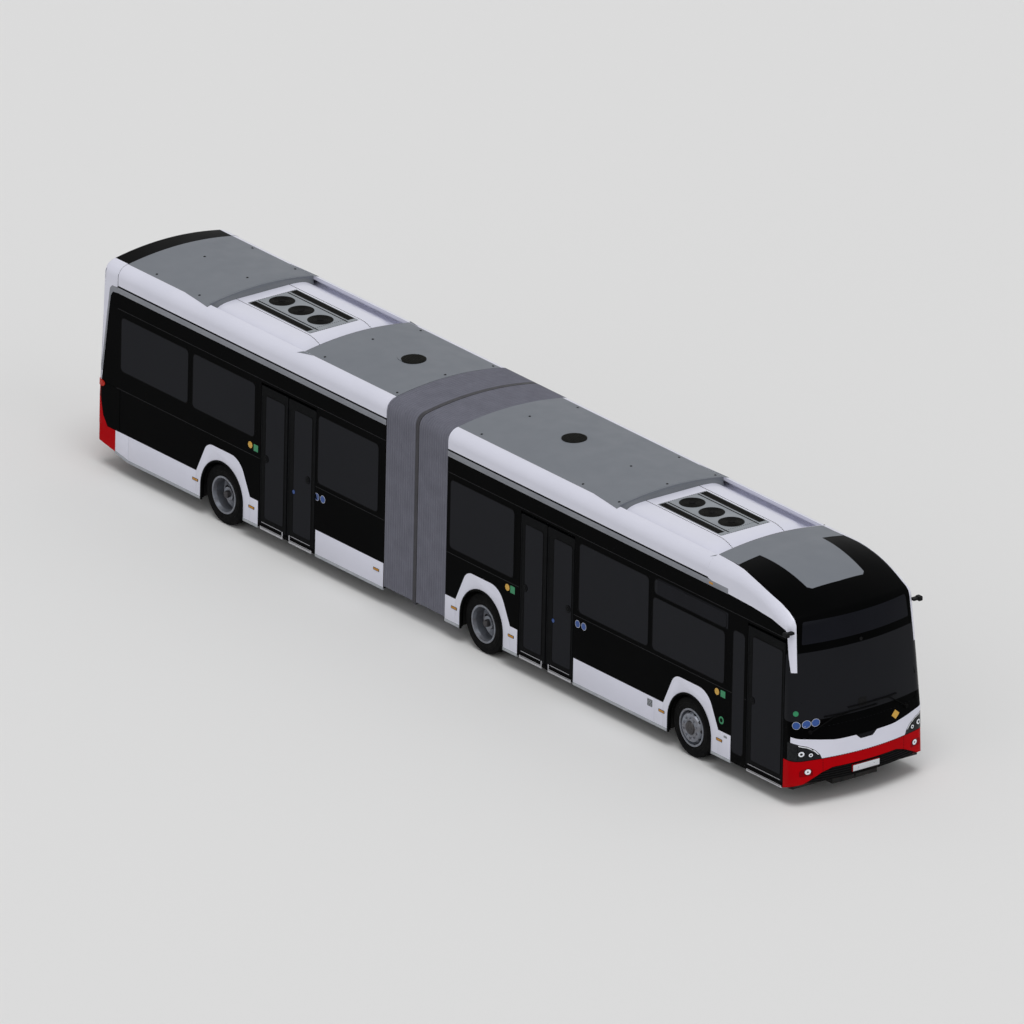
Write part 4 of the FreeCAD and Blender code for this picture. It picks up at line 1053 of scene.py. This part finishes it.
sideSpots = {
    "front": dict(steps=[(-4.352, -3.775), (-3.613, -3.024), (1.483, 2.365)], returns=[-3.785, -3.603],
                  blue=[(-2.880, 1.293), (-2.723, 1.299)], yellow=[(-4.692, 1.323), (0.69, 1.32)],
                  green=[(-4.615, -4.500, 1.262, 1.380), (0.785, 0.903, 1.268, 1.378)],
                  header=(-4.37, -2.998), amber=[-4.57, -0.695, -6.04, 0.78]),
    "rear": dict(steps=[(-11.090, -10.501), (-10.339, -9.750)], returns=[-10.511, -10.329],
                 blue=[(-9.635, 1.257), (-9.480, 1.262)], yellow=[(-11.384, 1.572)],
                 green=[(-11.292, -11.180, 1.504, 1.616)], header=(-11.11, -9.69),
                 amber=[-11.316, -12.79, -8.06]),
}
for section, spots in sideSpots.items():
    body = section + "_section"
    stand = wallPlace("right")
    under = (section + "_right_wall", section + "_windows")
    steps, notices, markers = bmesh.new(), bmesh.new(), bmesh.new()
    for x0, x1 in spots["steps"]:
        top = 0.304 if x0 > 0 else 0.315
        addTo(steps, plate(window(x0, x1, 0.266, top), -0.02, 0.006, 0.002), stand)
        addTo(steps, plate(window(x0 + 0.02, x1 - 0.02, top - 0.012, top - 0.006), 0.004, 0.009, 0.001),
              stand, 1)
    for x in spots["returns"]:
        addTo(steps, plate(window(x - 0.010, x + 0.010, 0.300, 0.390), -0.02, 0.006, 0.002), stand)
    newPiece(section + "Steps", steps, ["stepEdge", "sealBlack"], body)

    for spot in spots["blue"]:
        addSpots(notices, under, *spot, ((0.062, 0.0012, 0.001, 3), (0.056, 0.0022, 0.0015, 0)))
    for spot in spots["yellow"]:
        addSpots(notices, under, *spot, [(0.058, 0.002, 0.003, 1)], 8)
    for spot in spots["green"]:
        addTo(notices, onSide(window(*spot, 0.008), under, 0.002), finish=2)
    if section == "front":
        for radius, lift, finish in ((0.062, 0.002, 2), (0.034, 0.0032, 4)):
            addTo(notices, onSide(ahead(disc(0.817, 0.885, radius)), under, lift), finish=finish)
    newPiece(section + "Notices", notices,
             ["noticeBlue", "noticeYellow", "noticeGreen", "noticeWhite", "sealBlack"], body)

    for side in sides:
        there = wallPlace(side)
        for x in spots["amber"]:
            addTo(markers, plate(window(x - 0.078, x + 0.078, 0.528, 0.576, 0.012), 0.004, 0.010, 0.002),
                  there, 1)
            for i in (-1, 0, 1):
                lens = window(x + i * 0.044 - 0.020, x + i * 0.044 + 0.020, 0.535, 0.569, 0.008)
                addTo(markers, plate(lens, 0.008, 0.0135, 0.002), there)
        if section == "front":
            addTo(markers, plate(window(0.44, 0.54, 3.030, 3.062, 0.01), 0.006, 0.014, 0.003), there)
    newPiece(section + "Markers", markers, ["lampAmber", "seamGrey"], body)

    panels = onSide(window(*spots["header"], 2.692, 2.738, 0.004), under, 0.002)
    if section == "front":
        addTo(panels, onSide(window(-0.87, 0.94, 2.425, 2.690, 0.02), under, 0.0035, 0.004), finish=1)
        addTo(panels, plate(window(-1.060, -0.932, 0.538, 0.656, 0.006), 0.004, 0.008, 0.002), stand, 2)
        for z in [0.551 + 0.0225 * i for i in range(5)]:
            addTo(panels, plate(window(-1.052, -0.940, z, z + 0.010), 0.006, 0.0115, 0.001), stand, 3)
        addTo(panels, plate(window(0.892, 0.978, 0.628, 0.664, 0.017), 0.004, 0.0085, 0.002), stand, 4)
    newPiece(section + "SidePanels", panels,
             ["frameGrey", "displayGlass", "sealBlack", "skirtRubber", "stripGrey"], body)
print("side trim made")


# Nose trim: wipers, sensor, blank notices on the glass, the bare badge place and the bumper's seams
def noseSpot(y, z, lift=0):
    hit, normal = nose.meet(y, z)
    return hit + (normal if normal.x > 0 else -normal) * lift


def noseBar(points, lift, width, height):
    # bar over the front through points given off the centre line and up
    line = []
    for (y0, z0), (y1, z1) in zip(points, points[1:]):
        line += [noseSpot(y0 + (y1 - y0) * i / 8, z0 + (z1 - z0) * i / 8, lift) for i in range(8)]
    line.append(noseSpot(*points[-1], lift))
    return bar(line, width, height, (1, 0, 0))


wiperTable = [dict(blade=[(-0.743, 1.440), (0.22, 1.445)],
                   arm=[(-0.991, 1.234), (-0.606, 1.406), (-0.26, 1.452)]),
              dict(blade=[(-0.32, 1.513), (0.638, 1.505)],
                   arm=[(0.835, 1.246), (0.461, 1.506), (0.16, 1.519)])]
wipers = bmesh.new()
for one in wiperTable:
    addTo(wipers, noseBar(one["blade"], 0.012, 0.010, 0.016))
    addTo(wipers, noseBar([(y, z + 0.008) for y, z in one["blade"]], 0.022, 0.006, 0.018))
    addTo(wipers, noseBar(one["arm"], 0.030, 0.012, 0.020))
    addTo(wipers, lathe([(0.034, -0.01), (0.034, 0.020), (0.026, 0.034), (0, 0.036)], 24),
          Matrix.Translation(noseSpot(*one["arm"][0])) @ screwTurn)
newPiece("wipers", wipers, "sealBlack", frontBody)

trim = bmesh.new()
for badge, lift, finish in (([(0.0, 0.970), (0.115, 0.970), (0.205, 1.050), (0.0, 1.050)], 0.006, 0),
                            ([(0.0, 0.984), (0.10, 0.984), (0.170, 1.040), (0.0, 1.040)], 0.009, 1)):
    addTo(trim, nose.lay(bothHalves(nose.line(badge)), lift), finish=finish)
for y in (-0.78, 0.78):
    for z in [0.560 + 0.042 * i for i in range(5)]:
        addTo(trim, nose.lay(nose.line(box(y - 0.003, y + 0.003, z, z + 0.026)), 0.0015, 0.002))
for y in [-0.80 + 0.047 * i for i in range(34)]:
    addTo(trim, nose.lay(nose.line(box(y, y + 0.030, 0.768, 0.776)), 0.0065))
for i in range(36):
    angle = (i + 0.5 - 18) / 18 * wrap[1.29]
    addTo(trim, nose.lay(box(angle - 0.010, angle + 0.010, 1.288, 1.293), 0.0015, 0.002), finish=1)
addTo(trim, nose.lay(disc(0, 2.545, 0.030, 20), 0.012, 0.012), finish=2)
newPiece("noseTrim", trim, ["sealBlack", "frameGrey", "blackPlastic"], frontBody)

glassSpots = bmesh.new()
for y, z in ((-1.185, 1.358), (-1.035, 1.366), (-0.885, 1.372)):
    addDiscs(glassSpots, y, z, ((0.062, 0.0045, 0.002, 2), (0.057, 0.006, 0.002, 0)), 0.03)
addDiscs(glassSpots, -1.180, 1.548, [(0.042, 0.005, 0.003, 1)], 0.03)
diamond = nose.line([(0.51, 1.18), (0.595, 1.105), (0.68, 1.18), (0.595, 1.255)])
holder = box(nose.angle(-0.13, 1.5), nose.angle(0.03, 1.5), 1.48, 1.62, 0.012)
for outline, finish in ((diamond, 4), (holder, 3)):
    addTo(glassSpots, nose.lay(outline, 0.004), finish=finish)
newPiece("glassNotices", glassSpots,
         ["noticeBlue", "noticeGreen", "noticeWhite", "blackPlastic", "noticeYellow"], frontBody)

# Camera pods on the cap's corners: their lens eyes
pods = bmesh.new()
podLow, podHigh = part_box("camera_mirrors")
middle = (podLow[2] + podHigh[2]) / 2
for sign in (1, -1):
    for z, radius in ((middle + 0.004, 0.018), (middle - 0.020, 0.012)):
        there = Matrix.Translation((podLow[0] - 0.001, sign * (podHigh[1] - 0.038), z)) @ Matrix.Rotation(
            radians(90), 4, "Z")
        for ring, finish in ((radius, 0), (radius * 0.66, 1)):
            bulge = (radius - ring) * 0.2
            addTo(pods, lathe([(ring, -0.004), (ring, 0.003 + bulge), (0, 0.004 + bulge)], 20), there, finish)
newPiece("mirrorEyes", pods, ["sealBlack", "lampClear"], frontBody)
print("nose trim made")

# Tyres: turned, with grooves round the tread and notches in the shoulders
tyreSize = dict(width=0.280, tread=0.489, groove=0.010, deep=0.011, edge=0.044, ribs=5, steps=120,
                notch=0.006, notchEvery=3, shoulder=0.05)
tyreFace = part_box("front_left_tyre")[1][1]
twinShift = tyreSize["width"] + 0.050
tyreWall = [(0.293, -0.019), (0.311, -0.017), (0.316, -0.010), (0.328, -0.009), (0.334, -0.004),
            (0.352, -0.001), (0.371, 0.0), (0.374, 0.0015), (0.379, 0.0015), (0.382, -0.001), (0.404, -0.002),
            (0.407, -0.0005), (0.411, -0.0005), (0.414, -0.004), (0.440, -0.011), (0.462, -0.017),
            (0.470, -0.019), (0.481, -0.026), (0.4865, -0.035)]


def tyreProfile(face):
    profile = [(r, face + out) for r, out in tyreWall]
    low, high = -tyreSize["width"] + tyreSize["edge"], -tyreSize["edge"]
    ribs, groove = tyreSize["ribs"], tyreSize["groove"]
    rib = (high - low - (ribs - 1) * groove) / ribs
    tread, floor = tyreSize["tread"], tyreSize["tread"] - tyreSize["deep"]
    for i in range(ribs):
        start = high - i * (rib + groove)
        profile += [(tread, face + start), (tread, face + start - rib)]
        if i < ribs - 1:
            profile += [(floor, face + start - rib - 0.0015), (floor, face + start - rib - groove + 0.0015)]
    return profile + [(r, face - tyreSize["width"] - out) for r, out in reversed(tyreWall)]


def tyre(x, face, outward):
    part = lathe(tyreProfile(face), tyreSize["steps"], (x, 0, wheelHeight), outward)
    for v in part.verts:
        across, up = v.co.x - x, v.co.z - wheelHeight
        radius, turn = sqrt(across ** 2 + up ** 2), atan2(up, across)
        step = round(turn / (2 * pi) * tyreSize["steps"])
        inward = face - abs(v.co.y)
        shoulder = min(inward, tyreSize["width"] - inward)
        if radius > 0.480 and shoulder < tyreSize["shoulder"] and step % tyreSize["notchEvery"] == 0:
            short = radius - tyreSize["notch"]
            v.co.x, v.co.z = x + across * short / radius, wheelHeight + up * short / radius
    return part


def nuts(x, plane, outward, ring, count, height):
    part = bmesh.new()
    for c, s in circle(count, 0.5):
        spot = (x + ring * c, 0, wheelHeight + ring * s)
        for profile, steps in (([(0.021, -0.002), (0.021, 0.003), (0.017, 0.004)], 16),
                               ([(0.0155, 0.003), (0.0155, height - 0.004), (0.012, height), (0, height)],
                                6)):
            addTo(part, lathe([(radius, plane + out) for radius, out in profile], steps, spot, outward))
    return part


def paintedHoleShade(x, outward, near, far, count, spread):
    # dark flat sheets round a sloping disc, painted shade where the hand holes would show into the wheel;
    # near and far as (radius, outward)
    part = bmesh.new()
    for i in range(count):
        middle = 2 * pi * i / count
        outline = []
        for c, s in circle(18):
            radius, out = [a + (b - a) * (0.5 + 0.42 * c) for a, b in zip(near, far)]
            angle = middle + spread * s
            outline.append((x + radius * cos(angle), outward * (out + 0.0015),
                            wheelHeight + radius * sin(angle)))
        addFace(part, outline)
    return part


# wheel discs and hub caps as (radius, out from the tyre's face)
rimDisc = [(0.262, -0.058), (0.254, -0.046), (0.238, -0.010), (0.226, 0.010), (0.206, 0.019), (0.196, 0.021),
           (0.128, 0.021), (0.122, 0.017), (0.112, 0.017)]
hubCaps = {"twin": [(0.060, -0.096), (0.060, -0.060), (0.052, -0.037), (0.030, -0.034), (0, -0.034)],
           "single": [(0.112, 0.014), (0.106, 0.022), (0.101, 0.036), (0.092, 0.041), (0.040, 0.042),
                      (0.036, 0.038), (0, 0.038)]}
for axle in axleX:
    for side, outward in (("left", 1), ("right", -1)):
        x, many = axleX[axle], "" if axle == "front" else "s"
        node, name = f"{axle}_{side}_", axle + side.title()
        rubber = tyre(x, tyreFace, outward)
        if many:
            addTo(rubber, tyre(x, tyreFace - twinShift, outward))
        newPiece(name + "TyreDress", rubber, "tyreRubber", f"{node}wheel{many}",
                 (f"{node}tyre{many}",))

        def turned(profile, steps):
            return lathe([(r, tyreFace + out) for r, out in profile], steps, (x, 0, wheelHeight), outward)

        if many:
            dress = nuts(x, tyreFace - tyreSize["width"] - 0.011, outward, 0.152, 10, 0.030)
            holeShade = (0.200, tyreFace - 0.250), (0.250, tyreFace - 0.212), 8, 0.16
            cap = turned(hubCaps["twin"], 40)
        else:
            dress = turned(rimDisc, 90)
            addTo(dress, nuts(x, tyreFace + 0.021, outward, 0.1675, 10, 0.024))
            holeShade = (0.232, tyreFace + 0.002), (0.255, tyreFace - 0.046), 10, 0.11
            cap = turned(hubCaps["single"], 60)
        # dark sheets where the hand holes are: painted shade, the disc is not cut through
        addTo(dress, paintedHoleShade(x, outward, *holeShade), finish=1)
        addTo(dress, cap, finish=2)
        newPiece(name + "WheelDress", dress, ["rimSteel", "sealBlack", "hubSteel"], f"{node}wheel{many}")
print("wheels made")

# Tail: white corner posts, red corners, blank display and plate, lamps, hatch seams and louvres
postSide = [(-15.288, 1.41), (-15.260, 1.60), (-15.20, 2.05), (-15.13, 2.60), (-15.085, 2.90),
            (-15.03, 2.985), (-14.90, 3.00), (-14.90, 3.20), (-14.905, 3.30), (-14.91, 3.37)]
postRear = [(1.01, 3.375), (1.065, 3.30), (1.075, 3.20), (1.075, 3.00), (1.085, 2.40), (1.095, 1.80),
            (1.10, 1.41)]
stripTurn = [(-14.90, 3.092), (-15.045, 3.085), (-15.10, 3.03)]
redSide = [(-15.11, 0.70), (-15.225, 0.86), (-15.285, 1.10), (-15.305, 1.41)]
shoulder = [(-14.90, 1.01), (-15.272, 1.01), (-15.272, 1.10), (-15.25, 1.15), (-15.20, 1.19), (-14.90, 1.19)]
lampSide, lampRear = tail.corner(-15.19, 1.39), tail.angle(1.18, 1.39)
lampShape = roundOff([(lampSide, 1.335, 0.05), (lampRear, 1.345, 0.04), (lampRear, 1.445, 0.04),
                      (lampSide, 1.435, 0.05)])
# the gutter strip turns down along the black side; the white goes on over the edge of the roof
tailPieces = [
    ("TailPost", tail.flank(postSide) + tail.line(postRear), 0.004, 0.003, (0.04, 0.02), "whitePaint",
     "body_white"),
    ("TailStrip",
     tail.flank(postSide[1:8] + stripTurn + [(x - 0.035, z + 0.010) for x, z in postSide[4:0:-1]]), 0.0065,
     0.003, (0.03, 0.03), "stripGrey", "roof_grey"),
    ("TailShoulder", None, 0.004, 0.003, (0.04, 0.03), "whitePaint", "body_white"),
    ("TailCorner", tail.flank(redSide) + tail.line([(1.19, 1.41), (1.19, 0.86), (1.19, 0.70)]), 0.003, 0.003,
     (0.04, 0.08), "bumperRed", "bumper_red"),
    ("TailFlank", tail.flank([(-14.80, 0.703), (-15.11, 0.703)] + redSide[1:] + [(-14.80, 1.41)]), 0.0035,
     0.003, (0.04, 0.08), "blackGloss", "body_black"),
    ("CornerLamp", lampShape, 0.016, 0.014, (0.04, 0.04), "lampRed", "lamp_red"),
]
for sign, side in ((1, "left"), (-1, "right")):
    for name, outline, lift, thick, step, finish, slot in tailPieces:
        if outline:
            shape = tail.lay(flip(outline, sign), lift, thick, step)
        else:
            shape = onRoof([[(along(x), sign * y) for x, y in shoulder]], ("rear_wall", "rear_roof"), lift,
                           step)
        newPiece(side + name, shape, finish, rearBody)
    lamps = bmesh.new()
    for z, finish in ((1.300, 0), (1.180, 1), (1.060, 0), (0.940, 2), (0.830, 0)):
        outline = [(tail.angle(1.11, z) + 0.042 / 0.85 * c, z + 0.046 * s) for c, s in circle(24)]
        addTo(lamps, tail.lay(flip(outline, sign), 0.007, 0.006, (0.2, 0.2)), finish=finish)
    newPiece(side + "TailLamps", lamps, ["lampRed", "lampAmber", "lampWhite"], rearBody)

trim = bmesh.new()
# flat plates across the tail, as (half width, low, high, lift, thickness, finish)
tailPlates = [(0.52, 2.76, 2.95, 0.003, 0.003, 1), (0.28, 0.62, 0.75, 0.006, 0.005, 0),
              (0.26, 0.63, 0.74, 0.010, 0.004, 2), (1.0, 1.62, 1.626, 0.0015, 0.002, 0),
              (1.0, 0.905, 0.911, 0.0015, 0.002, 0)]
tailLouvres = [(0.62, 1.02 + 0.045 * i, 1.02 + 0.045 * i + 0.016, 0.006, 0.006, 3) for i in range(9)]


def addPlates(table):
    for reach, low, high, lift, thick, finish in table:
        half = tail.line(box(0, reach, low, high))
        addTo(trim, tail.lay(half + [(-a, z) for a, z in reversed(half) if a > 1e-6], lift, thick),
              finish=finish)


addPlates(tailPlates)
for sign in (1, -1):
    addTo(trim, tail.lay(flip(tail.line(box(0.99, 0.996, 0.92, 1.61)), sign), 0.0015, 0.002))
    for z in (1.08, 1.46):
        hinge = tail.line(box(0.93 - 0.03, 0.93 + 0.03, z - 0.012, z + 0.012))
        addTo(trim, tail.lay(flip(hinge, sign), 0.004, 0.004), finish=3)
addPlates(tailLouvres)
newPiece("rearTrim", trim, ["sealBlack", "displayGlass", "noticeWhite", "frameGrey"], rearBody)
print("tail made")
